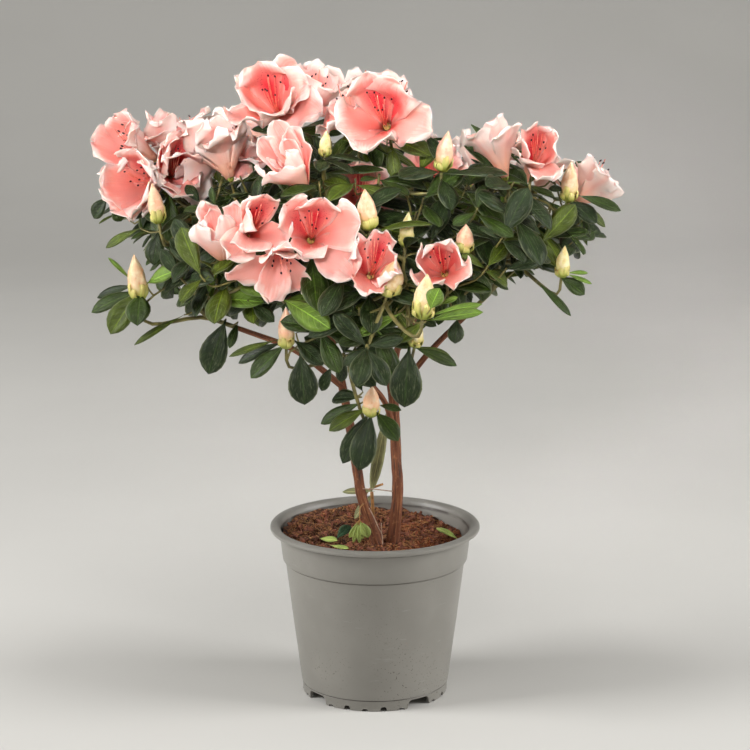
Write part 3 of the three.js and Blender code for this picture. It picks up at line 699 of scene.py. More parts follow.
def grow_twigs(mass_name, tips, fine):
    """Joins every tip to what has grown so far, nearest to the stem first, and then the fine ones."""
    before, end = spaced_points(BOUGHS["bough_" + mass_name], 3)[-2:]
    along = unit(end - before)
    root = end + along * GAP
    fork = root + along * STEM_START
    nodes = [SimpleNamespace(at=fork, along=along, distance=STEM_START)]
    radii = (BOUGH_RADII[1], TWIG_RADII[0])
    twigs = [SimpleNamespace(line=np.array([end - along, root, fork]), tip=None, radii=radii)]

    def joined(tip, at_points, line_count):
        def cost(node):
            way = tip.at - node.at
            length = np.linalg.norm(way)
            return length * (1.6 - 0.6 * way.dot(node.along) / length) + 0.15 * node.distance

        node = min(nodes, key=cost)
        twigs.append(SimpleNamespace(line=np.vstack([twig_line(node, tip, line_count), tip.at]), tip=tip))
        points = twig_line(node, tip, at_points(np.linalg.norm(node.at - tip.at)))
        distance = node.distance
        for a, b in zip(points, points[1:]):
            distance += np.linalg.norm(b - a)
            heading = unit(b - a)
            nodes.append(SimpleNamespace(at=b - heading * 1.5, along=heading, distance=distance))

    for tip in sorted(tips, key=lambda t: np.linalg.norm(t.at - root)):
        joined(tip, lambda span: 2 if span > 65 else 1, 7)
    for twig in twigs[1:]:
        for a, b in zip(twig.line[1:-2], twig.line[2:-1]):
            nodes.append(SimpleNamespace(at=b, along=unit(b - a), distance=40))
    for tip in sorted(fine, key=lambda t: np.linalg.norm(t.at - root)):
        joined(tip, lambda span: max(1, int(span / 14)), 5)
    return twigs


class Room:
    """The places that leaf blades have taken."""

    def __init__(self, blooms):
        self.taken = np.empty((0, 3))
        self.blooms = blooms

    def is_free(self, places, crown_reach):
        if (np.linalg.norm((places - CROWN_CENTRE) / CROWN_RADII, axis=1) > crown_reach).any():
            return False
        if hangs_low(places).any() or (places[:, 2] > CAD_BOX[1][2] / MM).any():
            return False
        if not all(clear_of_limbs(place, 1.5) for place in places):
            return False
        if any(inside_bloom(place, bloom, 0.5) for place in places for bloom in self.blooms):
            return False
        if hides_bloom(places, self.blooms):
            return False
        apart = self.taken[None] - places[:, None]
        return bool(((apart**2).sum(axis=2) > LEAF_ROOM**2).all())

    def take(self, places):
        self.taken = np.vstack([self.taken, places])


def whorl_leaves(tip, line, seed, room, sizes):
    """The leaves round one shoot's tip. Low shoots hang theirs. A leaf with no room is left out."""
    draw = seeded(math.floor(seed + 7 * tip.at[0] + 13 * tip.at[2] + 10000.5))
    normal, other = frames_along(line)[-1]
    droop = between(DROOP, 1 - smoothstep(tip.at[2], DROOP_HEIGHTS[1], DROOP_HEIGHTS[0]))
    reach = math.inf if tip.blooms or tip.bud else CROWN_REACH
    count = FINE_WHORL if tip.fine else WHORL
    lengths = (sizes.leaf_short / MM, sizes.leaf_long / MM)
    leaves = []
    for i in range(count):
        age = (i + 0.5) / count
        root = tip.at - tip.facing * (1.5 + (SHOOT_LENGTH - 3.5) * age)
        middle = math.radians(60 + 120 * (i % 3) + (30 if i < 3 else -30) + 60 * (i > 5))
        for attempt in range(LEAF_TRIES):
            turn = middle + (draw() - 0.5) * (0.3 + 0.1 * attempt)
            lean = math.radians(between(LEAF_LEAN, age) + (draw() - 0.5) * (20 + 8 * attempt))
            length = between(lengths, draw()) * (0.85 + 0.2 * age - 0.05 * attempt)
            along = unit(
                tip.facing * math.cos(lean)
                + normal * math.sin(lean) * math.sin(turn)
                + other * math.sin(lean) * math.cos(turn)
                - UP * droop
            )
            places = root + along * length * np.array([[0.45], [0.7], [0.97]])
            if room.is_free(places, reach):
                room.take(places)
                across = unit(np.cross(tip.facing, along))
                leaves.append(
                    SimpleNamespace(
                        root=root, along=along, across=across, out=np.cross(along, across), length=length,
                        width=length * sizes.leaf_ratio * (0.9 + 0.2 * draw()),
                        bend=0.02 + 0.2 * draw(), fold=0.4 * draw() - 0.02, twist=0.5 * (draw() - 0.5),
                    )
                )
                break
    return leaves


def loose_leaf(root, to, width, bend=0.08, fold=0.2, out=None):
    """A leaf laid from one place to another."""
    way = np.array(to, float) - np.array(root, float)
    facing = np.array([0, -0.6, 0.8]) if out is None else np.array(out, float)
    across = unit(np.cross(facing, way))
    return SimpleNamespace(
        root=np.array(root, float), along=unit(way), across=across, out=np.cross(unit(way), across),
        length=float(np.linalg.norm(way)), width=width, bend=bend, fold=fold, twist=0.1,
    )


def seen_leaves(twigs):
    """The leaves placed by the photograph, each with its tone, and the stalks that join them to twigs."""
    points = np.vstack([spaced_points(twig.line, 12)[1:] for twig in twigs])
    leaves, stalks = [], []
    for depth, spray in SEEN_LEAVES:
        for root, tip, nearer, breadth, tone in spray:
            at = seen_at(root, depth)
            parent = points[np.argmin(np.linalg.norm(points - at, axis=1))]
            if np.linalg.norm(parent - at) > 1:
                bow = (parent + at) / 2 - UP * 0.1 * np.linalg.norm(parent - at)
                line = spaced_points([parent, bow, at], 4)
                stalks.append(SimpleNamespace(line=line, tip=None, radii=STALK_RADII))
            to = seen_at(tip, depth - nearer)
            leaves.append((loose_leaf(at, to, breadth, 0.1, 0.3, (0, -0.75, 0.65)), tone))
    return leaves, stalks


def bears_nothing(twig, leaves, starts):
    """True for a twig that ends bare and that no other twig or leaf starts from."""
    if leaves or twig.tip.blooms or twig.tip.bud:
        return False
    others = starts[np.linalg.norm(starts - twig.line[0], axis=1) > NODE_REACH]
    apart = np.linalg.norm(others[:, None] - spaced_points(twig.line, 12)[None, 1:], axis=2)
    return not (apart < NODE_REACH).any()


@functools.lru_cache(maxsize=1)
def crown():
    """Everything that grows: twigs, whorls of leaves, blooms and buds."""
    sizes = bpy.context.scene.azalea_sizes
    grown = SimpleNamespace(twigs=[], sprays=[], seen=[], blooms=[], buds=[])
    started = []
    for i, (name, mass) in enumerate(MASSES.items()):
        seed = 139 * (i + 1)
        tips = shoot_tips(name, mass, seed)
        # a shoot of the source isn't grown where it would end below the leaves of the photograph
        tips = [tip for tip in tips if tip.blooms or tip.bud or not hangs_low([tip.at - UP * LEAF_DROP])[0]]
        started.append((name, seed, tips))
    blooms = [bloom for _, _, tips in started for tip in tips for bloom in tip.blooms]
    room = Room(blooms)
    for _, _, tips in started:
        clear_buds(tips, blooms)
    grown_twigs = []
    for name, seed, tips in started:
        grown_twigs.append((seed, grow_twigs(name, tips, fine_tips(name, seed, tips, blooms))))
    grown.seen, stalks = seen_leaves([twig for _, twigs in grown_twigs for twig in twigs])
    roots = np.array([leaf.root for leaf, _ in grown.seen])
    for leaf, _ in grown.seen:
        room.take(leaf.root + leaf.along * leaf.length * np.array([[0.25], [0.5], [0.75], [0.97]]))
    for bloom in blooms:
        if bloom.key in SEEN_LOBES:
            room.take(lobe_places(bloom))
    starts = [twig.line[0] for _, twigs in grown_twigs for twig in twigs]
    starts = np.vstack(starts + [stalk.line[0] for stalk in stalks] + [roots])
    for seed, twigs in grown_twigs:
        grown.twigs.append(twigs[0])
        for twig in twigs[1:]:
            reach = BUD_REACH if twig.tip.bud else SEEN_REACH
            is_seen = np.linalg.norm(roots - twig.tip.at, axis=1).min() < reach
            leaves = [] if is_seen else whorl_leaves(twig.tip, twig.line, seed, room, sizes)
            if bears_nothing(twig, leaves, starts):
                continue
            grown.twigs.append(twig)
            grown.sprays.append((twig.tip, leaves, seed))
            grown.blooms += twig.tip.blooms
            if twig.tip.bud:
                grown.buds.append(twig.tip)
    grown.twigs += stalks
    return grown


# Meshes


def deselect():
    if bpy.context.object and bpy.context.object.mode != "OBJECT":
        bpy.ops.object.mode_set(mode="OBJECT")
    bpy.ops.object.select_all(action="DESELECT")


def pick(obj):
    """Makes an object the only one selected, and the active one."""
    deselect()
    obj.select_set(True)
    bpy.context.view_layer.objects.active = obj


def apply_place(obj):
    pick(obj)
    bpy.ops.object.transform_apply(location=True, rotation=True, scale=True)


def apply_modifier(obj, kind, **settings):
    pick(obj)
    modifier = obj.modifiers.new(kind.title(), kind)
    for name, value in settings.items():
        setattr(modifier, name, value)
    bpy.ops.object.modifier_apply(modifier=modifier.name)


def smooth(obj, degrees):
    pick(obj)
    bpy.ops.object.shade_smooth_by_angle(angle=math.radians(degrees))


def select_edges(obj, is_wanted):
    """In edit mode, selects each edge whose two ends pass a test."""
    bpy.ops.mesh.select_mode(type="EDGE")
    bpy.ops.mesh.select_all(action="DESELECT")
    shape = bmesh.from_edit_mesh(obj.data)
    for edge in shape.edges:
        edge.select_set(is_wanted(*[vertex.co for vertex in edge.verts]))
    bmesh.update_edit_mesh(obj.data)


def seat(obj, materials, nodes=()):
    """Gives a finished piece its materials, and tells the frame what it is."""
    obj.data.materials.clear()
    for material in materials:
        obj.data.materials.append(material)
    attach(obj, "root")
    if nodes:
        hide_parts(*nodes)


def mesh_object(name, places, faces):
    """A smooth mesh, from places in millimetres, as one object."""
    mesh = bpy.data.meshes.new(name)
    mesh.from_pydata((np.asarray(places) * MM).tolist(), [], faces)
    mesh.validate()
    mesh.polygons.foreach_set("use_smooth", [True] * len(mesh.polygons))
    obj = bpy.data.objects.new(name, mesh)
    bpy.context.scene.collection.objects.link(obj)
    return obj


class Heap:
    """Many small closed shapes, gathered into one mesh with what each vertex tells its material."""

    def __init__(self):
        self.places, self.faces, self.tells, self.count = [], [], [], 0

    def add(self, places, faces, tells=None):
        places = np.asarray(places, float).reshape(-1, 3)
        self.places.append(places)
        self.faces += [tuple(i + self.count for i in face) for face in faces]
        if tells is not None:
            self.tells.append(np.asarray(tells, float).reshape(-1, 4))
        self.count += len(places)

    def make(self, name, attribute=None):
        obj = mesh_object(name, np.vstack(self.places), self.faces)
        if attribute:
            layer = obj.data.attributes.new(attribute, "FLOAT_COLOR", "POINT")
            layer.data.foreach_set("color", np.vstack(self.tells).astype(np.float32).ravel())
        return obj


def tube_faces(sides, rings):
    """The faces of a closed tube: round it ring by ring, then its two ends."""
    faces = []
    for i in range(rings):
        for j in range(sides):
            k = (j + 1) % sides
            faces.append((i * sides + k, i * sides + j, (i + 1) * sides + j, (i + 1) * sides + k))
    faces.append(tuple(range(sides)))
    faces.append(tuple(rings * sides + j for j in reversed(range(sides))))
    return faces


def tube(line, radius_at, sides):
    """A closed tube along a line: its places and faces."""
    last = len(line) - 1
    turns = np.arange(sides) * 2 * math.pi / sides
    places = []
    for i, (at, (normal, other)) in enumerate(zip(line, frames_along(line))):
        around = np.outer(np.cos(turns), normal) + np.outer(np.sin(turns), other)
        places.append(at + radius_at(i / last) * around)
    return np.vstack(places), tube_faces(sides, last)


def shell(front, thickness, tells):
    """A grid of places as a closed sheet: its front, a back that much behind, and a rim."""
    rows, columns = front.shape[:2]
    normals = np.cross(np.gradient(front, axis=0), np.gradient(front, axis=1))
    normals /= np.maximum(np.linalg.norm(normals, axis=2, keepdims=True), 1e-9)
    back = front - normals * thickness
    behind = rows * columns
    faces = []
    for r in range(rows - 1):
        for c in range(columns - 1):
            a, b = r * columns + c, (r + 1) * columns + c
            faces.append((a, b, b + 1, a + 1))
            faces.append((a + behind, a + 1 + behind, b + 1 + behind, b + behind))
    ring = list(range(columns))
    ring += [r * columns + columns - 1 for r in range(1, rows)]
    ring += [(rows - 1) * columns + c for c in reversed(range(columns - 1))]
    ring += [r * columns for r in reversed(range(1, rows - 1))]
    for a, b in zip(ring, ring[1:] + ring[:1]):
        faces.append((a, b, b + behind, a + behind))
    told = np.concatenate([tells, tells])
    told[len(tells) :, 3] = 1
    return np.vstack([front.reshape(-1, 3), back.reshape(-1, 3)]), faces, told


def set_uv(obj, name, uv):
    layer = obj.data.uv_layers.new(name=name)
    layer.data.foreach_set("uv", uv.astype(np.float32).ravel())


def bake_map(obj, u, v, is_back, cell, count):
    """Gives each of many blades a cell in the bake's map: its front at the left, its back at the right."""
    cells = math.ceil(math.sqrt(count))
    inside = np.column_stack([0.02 + 0.46 * u + 0.5 * is_back, 0.02 + 0.96 * v])
    set_uv(obj, "OFBake", (inside + np.column_stack([cell % cells, cell // cells])) / cells)


# Materials


def add_node(tree, kind, inputs=(), stops=(), **settings):
    """Adds a node with its settings, its ramp's stops and its inputs, each a value, a socket or a node."""
    node = tree.nodes.new("ShaderNode" + kind)
    for name, value in settings.items():
        setattr(node, name, value)
    for key, value in dict(inputs).items():
        if isinstance(value, bpy.types.Node):
            value = next(output for output in value.outputs if output.enabled)
        if isinstance(value, bpy.types.NodeSocket):
            tree.links.new(value, node.inputs[key])
        else:
            node.inputs[key].default_value = value
    if stops:
        ramp = node.color_ramp
        ramp.interpolation = "EASE"
        for element, (position, colour) in ((ramp.elements[0], stops[0]), (ramp.elements[1], stops[-1])):
            element.position, element.color = position, colour
        for position, colour in stops[1:-1]:
            ramp.elements.new(position).color = colour
    return node


def new_material(name):
    """An empty material, and the function that adds a node to it."""
    material = bpy.data.materials.new(name)
    material.use_nodes = True
    material.node_tree.nodes.clear()
    return material, functools.partial(add_node, material.node_tree)


def shade(colour, factor):
    """A colour made darker or lighter."""
    return (*[min(1, part * factor) for part in colour[:3]], 1.0)


BLACK, WHITE = (0, 0, 0, 1), (1, 1, 1, 1)


def pot_plastic(colours):
    """Injection-moulded polypropylene: satin, even grey, with a fine orange-peel skin and faint scuffs, and
    painted shade with some grime in the groove over the foot and under the lip.
    """
    material, node = new_material("moulded polypropylene, grey")
    place = node("TexCoord").outputs["Object"]
    height = node("SeparateXYZ", {0: place}).outputs[2]
    # the pigment flowed in patches about 30 mm across
    flow = node("TexNoise", {"Vector": place, "Scale": 33, "Detail": 3})
    tint = node("ValToRGB", {0: flow}, [(0.35, shade(colours.pot, 0.94)), (0.7, shade(colours.pot, 1.05))])
    # splashed peat near the foot: specks of about 0.6 mm, drawn larger than real to show
    specks = node("TexNoise", {"Vector": place, "Scale": 900, "Detail": 1})
    specks = node("ValToRGB", {0: specks}, [(0.67, BLACK), (0.73, WHITE)])
    patches = node("TexNoise", {"Vector": place, "Scale": 28, "Detail": 2})
    patches = node("ValToRGB", {0: patches}, [(0.42, BLACK), (0.62, WHITE)])
    low = node("MapRange", {0: height, 1: 0.0, 2: 0.07, 3: 1.0, 4: 0.2})
    dirt = node("Math", {0: specks, 1: patches}, operation="MULTIPLY")
    dirt = node("Math", {0: dirt, 1: low}, operation="MULTIPLY")
    tint = node("Mix", {0: dirt, 6: tint, 7: linear("#453B33")}, data_type="RGBA")
    # partly painted shade, partly grime: a dark band in the groove over the foot and under the lip, broken up
    # in streaks
    level = node("Math", {0: height, 1: 8.0}, operation="MULTIPLY")
    shade_and_grime_band = [(0.051, BLACK), (0.054, WHITE), (0.056, WHITE), (0.059, BLACK), (0.816, BLACK), (0.828, WHITE),
             (0.8352, WHITE), (0.836, BLACK)]
    shade_and_grime_band = node("ValToRGB", {0: level}, shade_and_grime_band)
    streaks = node("Mapping", {"Vector": place, "Scale": (90, 90, 500)})
    band_breakup = node("TexNoise", {"Vector": streaks, "Scale": 1, "Detail": 3})
    band_breakup = node("MapRange", {0: band_breakup, 1: 0.38, 2: 0.56, 3: 0.2, 4: 0.8})
    shade_and_grime_band = node("Math", {0: shade_and_grime_band, 1: band_breakup}, operation="MULTIPLY")
    tint = node("Mix", {0: shade_and_grime_band, 6: tint, 7: linear("#3B3430")}, data_type="RGBA")
    # a few faint rubbed marks of about 12 mm
    marks = node("TexNoise", {"Vector": streaks, "Scale": 0.8, "Detail": 2})
    marks = node("MapRange", {0: marks, 1: 0.68, 2: 0.8, 3: 0.0, 4: 0.25})
    tint = node("Mix", {0: marks, 6: tint, 7: linear("#B5B5B0")}, data_type="RGBA")
    rough = node("MapRange", {0: flow, 1: 0.3, 2: 0.7, 3: 0.33, 4: 0.42})
    skin = node("TexNoise", {"Vector": place, "Scale": 1500, "Detail": 2})
    bump = node("Bump", {"Strength": 0.12, "Distance": 0.0004, "Height": skin})
    shader = node("BsdfPrincipled", {"Base Color": tint, "Roughness": rough, "IOR": 1.49, "Normal": bump})
    node("OutputMaterial", {"Surface": shader})
    return material


def peat(colours, name="milled peat, damp", lightness=1.0):
    """Milled peat: matt, crumbly, from near black to orange fibre within a few millimetres; the near black is
    painted shade between the crumbs.
    """
    material, node = new_material(name)
    place = node("TexCoord").outputs["Object"]
    # brown at the left, redder at the right
    redness = node("MapRange", {0: node("SeparateXYZ", {0: place}), 1: -0.02, 2: 0.03})
    red = shade(linear("#8A4A2C"), lightness)
    tint = node("Mix", {0: redness, 6: shade(colours.peat, lightness), 7: red}, data_type="RGBA")
    # damp hollows 15 mm across, then crumbs of 2 mm: tan on their crests, with painted shade, near black, in
    # their gaps
    patches = node("TexNoise", {"Vector": place, "Scale": 70, "Detail": 3})
    patches = node("MapRange", {0: patches, 1: 0.56, 2: 0.4, 3: 0.0, 4: 0.8})
    tint = node("Mix", {0: patches, 6: tint, 7: linear("#3A2218")}, data_type="RGBA")
    crumbs = node("TexNoise", {"Vector": place, "Scale": 420, "Detail": 4, "Roughness": 0.65})
    crests = node("MapRange", {0: crumbs, 1: 0.5, 2: 0.68})
    tint = node("Mix", {0: crests, 6: tint, 7: shade(linear("#A87248"), lightness)}, data_type="RGBA")
    # painted shade in the gaps between the crumbs
    crumb_gap_shade = node("MapRange", {0: crumbs, 1: 0.48, 2: 0.32})
    tint = node("Mix", {0: crumb_gap_shade, 6: tint, 7: linear("#20120B")}, data_type="RGBA")
    bump = node("Bump", {"Strength": 0.8, "Distance": 0.0012, "Height": crumbs})
    shader = node("BsdfPrincipled", {"Base Color": tint, "Roughness": 0.88, "Normal": bump})
    node("OutputMaterial", {"Surface": shader})
    return material


def bark(colour, name, flake_and_highlight, crack_and_shade, roughness):
    """Fibrous bark: strips run lengthwise and lift into paler flakes over dark cracks; the paler flakes are
    partly painted highlight, and the dark cracks partly painted shade.
    """
    material, node = new_material(name)
    # the UV map "bark" holds metres round and along the limb
    place = node("UVMap", uv_map="bark")
    # fibres about 0.7 mm wide and 20 mm long, flakes about 3 mm long
    strips = node("Mapping", {"Vector": place, "Scale": (1400, 50, 1)})
    strips = node("TexNoise", {"Vector": strips, "Scale": 1, "Detail": 4, "Roughness": 0.6})
    flakes = node("Mapping", {"Vector": place, "Scale": (520, 320, 1)})
    flakes = node("TexNoise", {"Vector": flakes, "Scale": 1, "Detail": 3})
    # the strips run from dark cracks, partly painted shade, to pale flakes, partly painted highlight
    grain = [(0.34, linear(crack_and_shade)), (0.47, shade(colour, 0.9)), (0.55, colour), (0.7, linear(flake_and_highlight))]
    tint = node("ValToRGB", {0: strips}, grain)
    # the lifted flakes are paler, partly as painted highlight
    lifted_flake_highlight = node("MapRange", {0: flakes, 1: 0.58, 2: 0.7, 3: 0.0, 4: 0.6})
    tint = node("Mix", {0: lifted_flake_highlight, 6: tint, 7: linear(flake_and_highlight)}, data_type="RGBA")
    relief = node("Math", {0: flakes, 1: 0.5, 2: strips}, operation="MULTIPLY_ADD")
    bump = node("Bump", {"Strength": 0.55, "Distance": 0.0006, "Height": relief})
    shader = node("BsdfPrincipled", {"Base Color": tint, "Roughness": roughness, "Normal": bump})
    node("OutputMaterial", {"Surface": shader})
    return material


def leaf_top(name, colour, gloss):
    """Evergreen leaf, upper side: waxy and veined, with a pale midrib, silver hairs and a pale rim."""
    material, node = new_material(name)
    place = node("TexCoord").outputs["Object"]
    # the UV map "blade" runs across the blade and along it, from 0 to 1
    blade = node("UVMap", uv_map="blade")
    parts = node("SeparateXYZ", {0: blade})
    side = node("Math", {0: parts, 1: 2.0, 2: -1.0}, operation="MULTIPLY_ADD")
    side = node("Math", {0: side}, operation="ABSOLUTE")
    mottle = node("TexNoise", {"Vector": place, "Scale": 120, "Detail": 3})
    tint = node("ValToRGB", {0: mottle}, [(0.35, shade(colour, 0.75)), (0.65, shade(colour, 1.25))])
    # side veins leave the midrib about every 4 mm and sweep forward
    sweep = node("Math", {0: side, 1: -13.0}, operation="MULTIPLY")
    veins = node("Math", {0: parts.outputs[1], 1: 50.0, 2: sweep}, operation="MULTIPLY_ADD")
    veins = node("Math", {0: veins}, operation="SINE")
    veins = node("ValToRGB", {0: veins}, [(0.6, BLACK), (1.0, WHITE)])
    faded = node("MapRange", {0: side, 1: 1.0, 2: 0.7, 3: 0.0, 4: 0.22})
    faded = node("Math", {0: veins, 1: faded}, operation="MULTIPLY")
    tint = node("Mix", {0: faded, 6: tint, 7: shade(colour, 2.2)}, data_type="RGBA")
    rib = node("MapRange", {0: side, 1: 0.08, 2: 0.02, 3: 0.0, 4: 0.65})
    tint = node("Mix", {0: rib, 6: tint, 7: shade(colour, 3.4)}, data_type="RGBA")
    # silver hairs lie along the blade: 0.6 mm wide and 6 mm long, drawn coarser than real to show
    strands = node("Mapping", {"Vector": blade, "Scale": (24, 6, 1)})
    strands = node("VectorMath", {0: place, 1: (90, 90, 90), 2: strands}, operation="MULTIPLY_ADD")
    hairs = node("TexNoise", {"Vector": strands, "Scale": 1, "Detail": 3, "Roughness": 0.6})
    rim = node("MapRange", {0: side, 1: 0.86, 2: 1.0, 3: 0.0, 4: 0.55})
    silver = node("MapRange", {0: hairs, 1: 0.54, 2: 0.7, 3: 0.0, 4: 0.3})
    silver = node("Math", {0: rim, 1: silver}, operation="MAXIMUM")
    tint = node("Mix", {0: silver, 6: tint, 7: linear("#989D78")}, data_type="RGBA")
    relief = node("Math", {0: hairs, 1: 0.5}, operation="MULTIPLY")
    relief = node("Math", {0: relief, 1: veins}, operation="SUBTRACT")
    relief = node("Math", {0: relief, 1: rib}, operation="SUBTRACT")
    bump = node("Bump", {"Strength": 0.4, "Distance": 0.0006, "Height": relief})
    rough = node("MapRange", {0: mottle, 1: 0.3, 2: 0.7, 3: gloss, 4: gloss + 0.12})
    skin = {"Base Color": tint, "Roughness": rough, "IOR": 1.45, "Specular IOR Level": 0.3, "Normal": bump}
    node("OutputMaterial", {"Surface": node("BsdfPrincipled", skin)})
    return material


def leaf_under(name, colour):
    """Evergreen leaf, underside: matt and paler, with the midrib standing out."""
    material, node = new_material(name)
    pale = tuple(0.6 * a + 0.4 * b for a, b in zip(colour, linear("#86915F")))
    place = node("TexCoord").outputs["Object"]
    mottle = node("TexNoise", {"Vector": place, "Scale": 150, "Detail": 3})
    tint = node("ValToRGB", {0: mottle}, [(0.35, shade(pale, 0.85)), (0.65, shade(pale, 1.15))])
    parts = node("SeparateXYZ", {0: node("UVMap", uv_map="blade")})
    side = node("Math", {0: parts, 1: 0.5}, operation="SUBTRACT")
    side = node("Math", {0: side}, operation="ABSOLUTE")
    rib = node("MapRange", {0: side, 1: 0.07, 2: 0.01, 3: 0.0, 4: 0.6})
    tint = node("Mix", {0: rib, 6: tint, 7: linear("#A3A873")}, data_type="RGBA")
    shader = node("BsdfPrincipled", {"Base Color": tint, "Roughness": 0.62})
    node("OutputMaterial", {"Surface": shader})
    return material


def petal_skin(colours):
    """Petal: thin, soft and moist, salmon pink that streaks out to a white margin, with a coral throat."""
    material, node = new_material("azalea petal, salmon and white")
    # the attribute "petal" holds: across the lobe, along it, share of throat blotch, and 1 on its back
    told = node("Attribute", attribute_name="petal")
    parts = node("SeparateColor", {0: told})
    across, along, blotch = parts.outputs[:3]
    place = node("TexCoord").outputs["Object"]
    cloud = node("TexNoise", {"Vector": place, "Scale": 95, "Detail": 3})
    # veins fan out from the lobe's base, about 1.5 mm apart
    fan = node("CombineXYZ", {0: across, 1: along})
    fan = node("Mapping", {"Vector": fan, "Scale": (8, 1.6, 1)})
    fan = node("VectorMath", {0: place, 1: (30, 30, 30), 2: fan}, operation="MULTIPLY_ADD")
    veins = node("TexNoise", {"Vector": fan, "Scale": 1, "Detail": 3})
    # how pale it is: towards the tip and the margins, in clouds and streaks
    outer = node("MapRange", {0: along, 1: 0.4, 2: 1.0, 3: 0.0, 4: 0.6})
    margin = node("Math", {0: across, 1: 2.4}, operation="POWER")
    pale = node("Math", {0: margin, 1: 0.5, 2: outer}, operation="MULTIPLY_ADD")
    pale = node("Math", {0: cloud, 1: 0.8, 2: pale}, operation="MULTIPLY_ADD")
    pale = node("Math", {0: veins, 1: 0.5, 2: pale}, operation="MULTIPLY_ADD")
    rose, white = colours.petal, colours.petal_edge
    halfway = tuple(0.5 * a + 0.5 * b for a, b in zip(rose, white))
    pale = node("Math", {0: pale, 1: 0.5}, operation="MULTIPLY")
    stops = [(0.32, shade(rose, 0.94)), (0.5, rose), (0.66, halfway), (0.82, white)]
    tint = node("ValToRGB", {0: pale}, stops)
    # every lobe reddens towards the throat, and the upper ones carry a blotch
    inner = node("MapRange", {0: along, 1: 0.62, 2: 0.26, 3: 0.0, 4: 0.55})
    middle = node("MapRange", {0: across, 1: 1.1, 2: 0.2})
    heart = node("Math", {0: inner, 1: middle}, operation="MULTIPLY")
    tint = node("Mix", {0: heart, 6: tint, 7: linear("#EC6558")}, data_type="RGBA")
    inner = node("MapRange", {0: along, 1: 0.86, 2: 0.5})
    middle = node("MapRange", {0: across, 1: 0.85, 2: 0.15, 3: 0.0, 4: 0.9})
    throat = node("Math", {0: inner, 1: middle}, operation="MULTIPLY")
    throat = node("Math", {0: throat, 1: blotch}, operation="MULTIPLY")
    tint = node("Mix", {0: throat, 6: tint, 7: colours.throat}, data_type="RGBA")
    # the blotch is flecked with darker spots of about 0.8 mm
    fine = node("TexNoise", {"Vector": place, "Scale": 900, "Detail": 2})
    flecks = node("ValToRGB", {0: fine}, [(0.6, BLACK), (0.66, WHITE)])
    flecks = node("Math", {0: flecks, 1: throat}, operation="MULTIPLY")
    tint = node("Mix", {0: flecks, 6: tint, 7: shade(colours.throat, 0.6)}, data_type="RGBA")
    # the back is paler, with a rosy middle, and peach towards the tube
    behind = node("ValToRGB", {0: pale}, [(0.3, shade(halfway, 0.97)), (0.7, white)])
    rosy = node("MapRange", {0: across, 1: 0.3, 2: 0.0, 3: 0.0, 4: 0.5})
    behind = node("Mix", {0: rosy, 6: behind, 7: rose}, data_type="RGBA")
    tube_share = node("MapRange", {0: along, 1: 0.6, 2: 0.15, 3: 0.0, 4: 0.9})
    behind = node("Mix", {0: tube_share, 6: behind, 7: linear("#F2A384")}, data_type="RGBA")
    tint = node("Mix", {0: told.outputs["Alpha"], 6: tint, 7: behind}, data_type="RGBA")
    bump = node("Bump", {"Strength": 0.35, "Distance": 0.0005, "Height": veins})
    skin = {"Base Color": tint, "Roughness": 0.5, "IOR": 1.4, "Normal": bump, "Subsurface Weight": 0.3}
    skin |= {"Subsurface Scale": 0.002, "Subsurface Radius": (1.0, 0.5, 0.4)}
    node("OutputMaterial", {"Surface": node("BsdfPrincipled", skin)})
    return material


def bud_skin():
    """Flower bud: waxy cream and peach lobes, rolled tight, in sticky yellow-green scales."""
    material, node = new_material("azalea bud, cream and green")
    # the attribute "bud" holds: across, along, 1 on a scale, and how peach the bud is
    told = node("Attribute", attribute_name="bud")
    parts = node("SeparateColor", {0: told})
    across, along, scale = parts.outputs[:3]
    place = node("TexCoord").outputs["Object"]
    cloud = node("TexNoise", {"Vector": place, "Scale": 300, "Detail": 3})
    cream, peach = linear("#DAD08A"), linear("#F3B597")
    body = node("Mix", {0: told.outputs["Alpha"], 6: cream, 7: peach}, data_type="RGBA")
    # painted shade: each lobe darkens where it runs under the edge of the lobe that laps over it
    lap = node("MapRange", {0: across, 1: 0.3, 2: 0.0, 3: 0.0, 4: 0.6})
    body = node("Mix", {0: lap, 6: body, 7: linear("#D68A5E")}, data_type="RGBA")
    light = node("MapRange", {0: cloud, 1: 0.45, 2: 0.65, 3: 0.0, 4: 0.6})
    body = node("Mix", {0: light, 6: body, 7: linear("#F7E6C6")}, data_type="RGBA")
    foot = node("MapRange", {0: along, 1: 0.38, 2: 0.08, 3: 0.0, 4: 0.9})
    body = node("Mix", {0: foot, 6: body, 7: linear("#B9AE4A")}, data_type="RGBA")
    tones = {0.1: "#98A03E", 0.7: "#D3C377", 0.85: "#C9AE66", 1.0: "#8A5A34"}
    husk = node("ValToRGB", {0: along}, [(share, linear(tone)) for share, tone in tones.items()])
    tint = node("Mix", {0: scale, 6: body, 7: husk}, data_type="RGBA")
    bump = node("Bump", {"Strength": 0.3, "Distance": 0.0004, "Height": cloud})
    skin = {"Base Color": tint, "Roughness": 0.42, "Normal": bump}
    skin |= {"Subsurface Weight": 0.1, "Subsurface Scale": 0.0015}
    node("OutputMaterial", {"Surface": node("BsdfPrincipled", skin)})
    return material


def mottled(name, colour, roughness, spread=0.2, scale=400, relief=0.0):
    """A small plant part, fibre or paper: one colour, lighter and darker by turns, with its own grain."""
    material, node = new_material(name)
    place = node("TexCoord").outputs["Object"]
    mottle = node("TexNoise", {"Vector": place, "Scale": scale, "Detail": 3})
    stops = [(0.35, shade(colour, 1 - spread)), (0.65, shade(colour, 1 + spread))]
    tint = node("ValToRGB", {0: mottle}, stops)
    bump = node("Bump", {"Strength": relief, "Distance": 0.0005, "Height": mottle})
    shader = node("BsdfPrincipled", {"Base Color": tint, "Roughness": roughness, "Normal": bump})
    node("OutputMaterial", {"Surface": shader})
    return material


# Pot and compost

POT_TURNS = 144
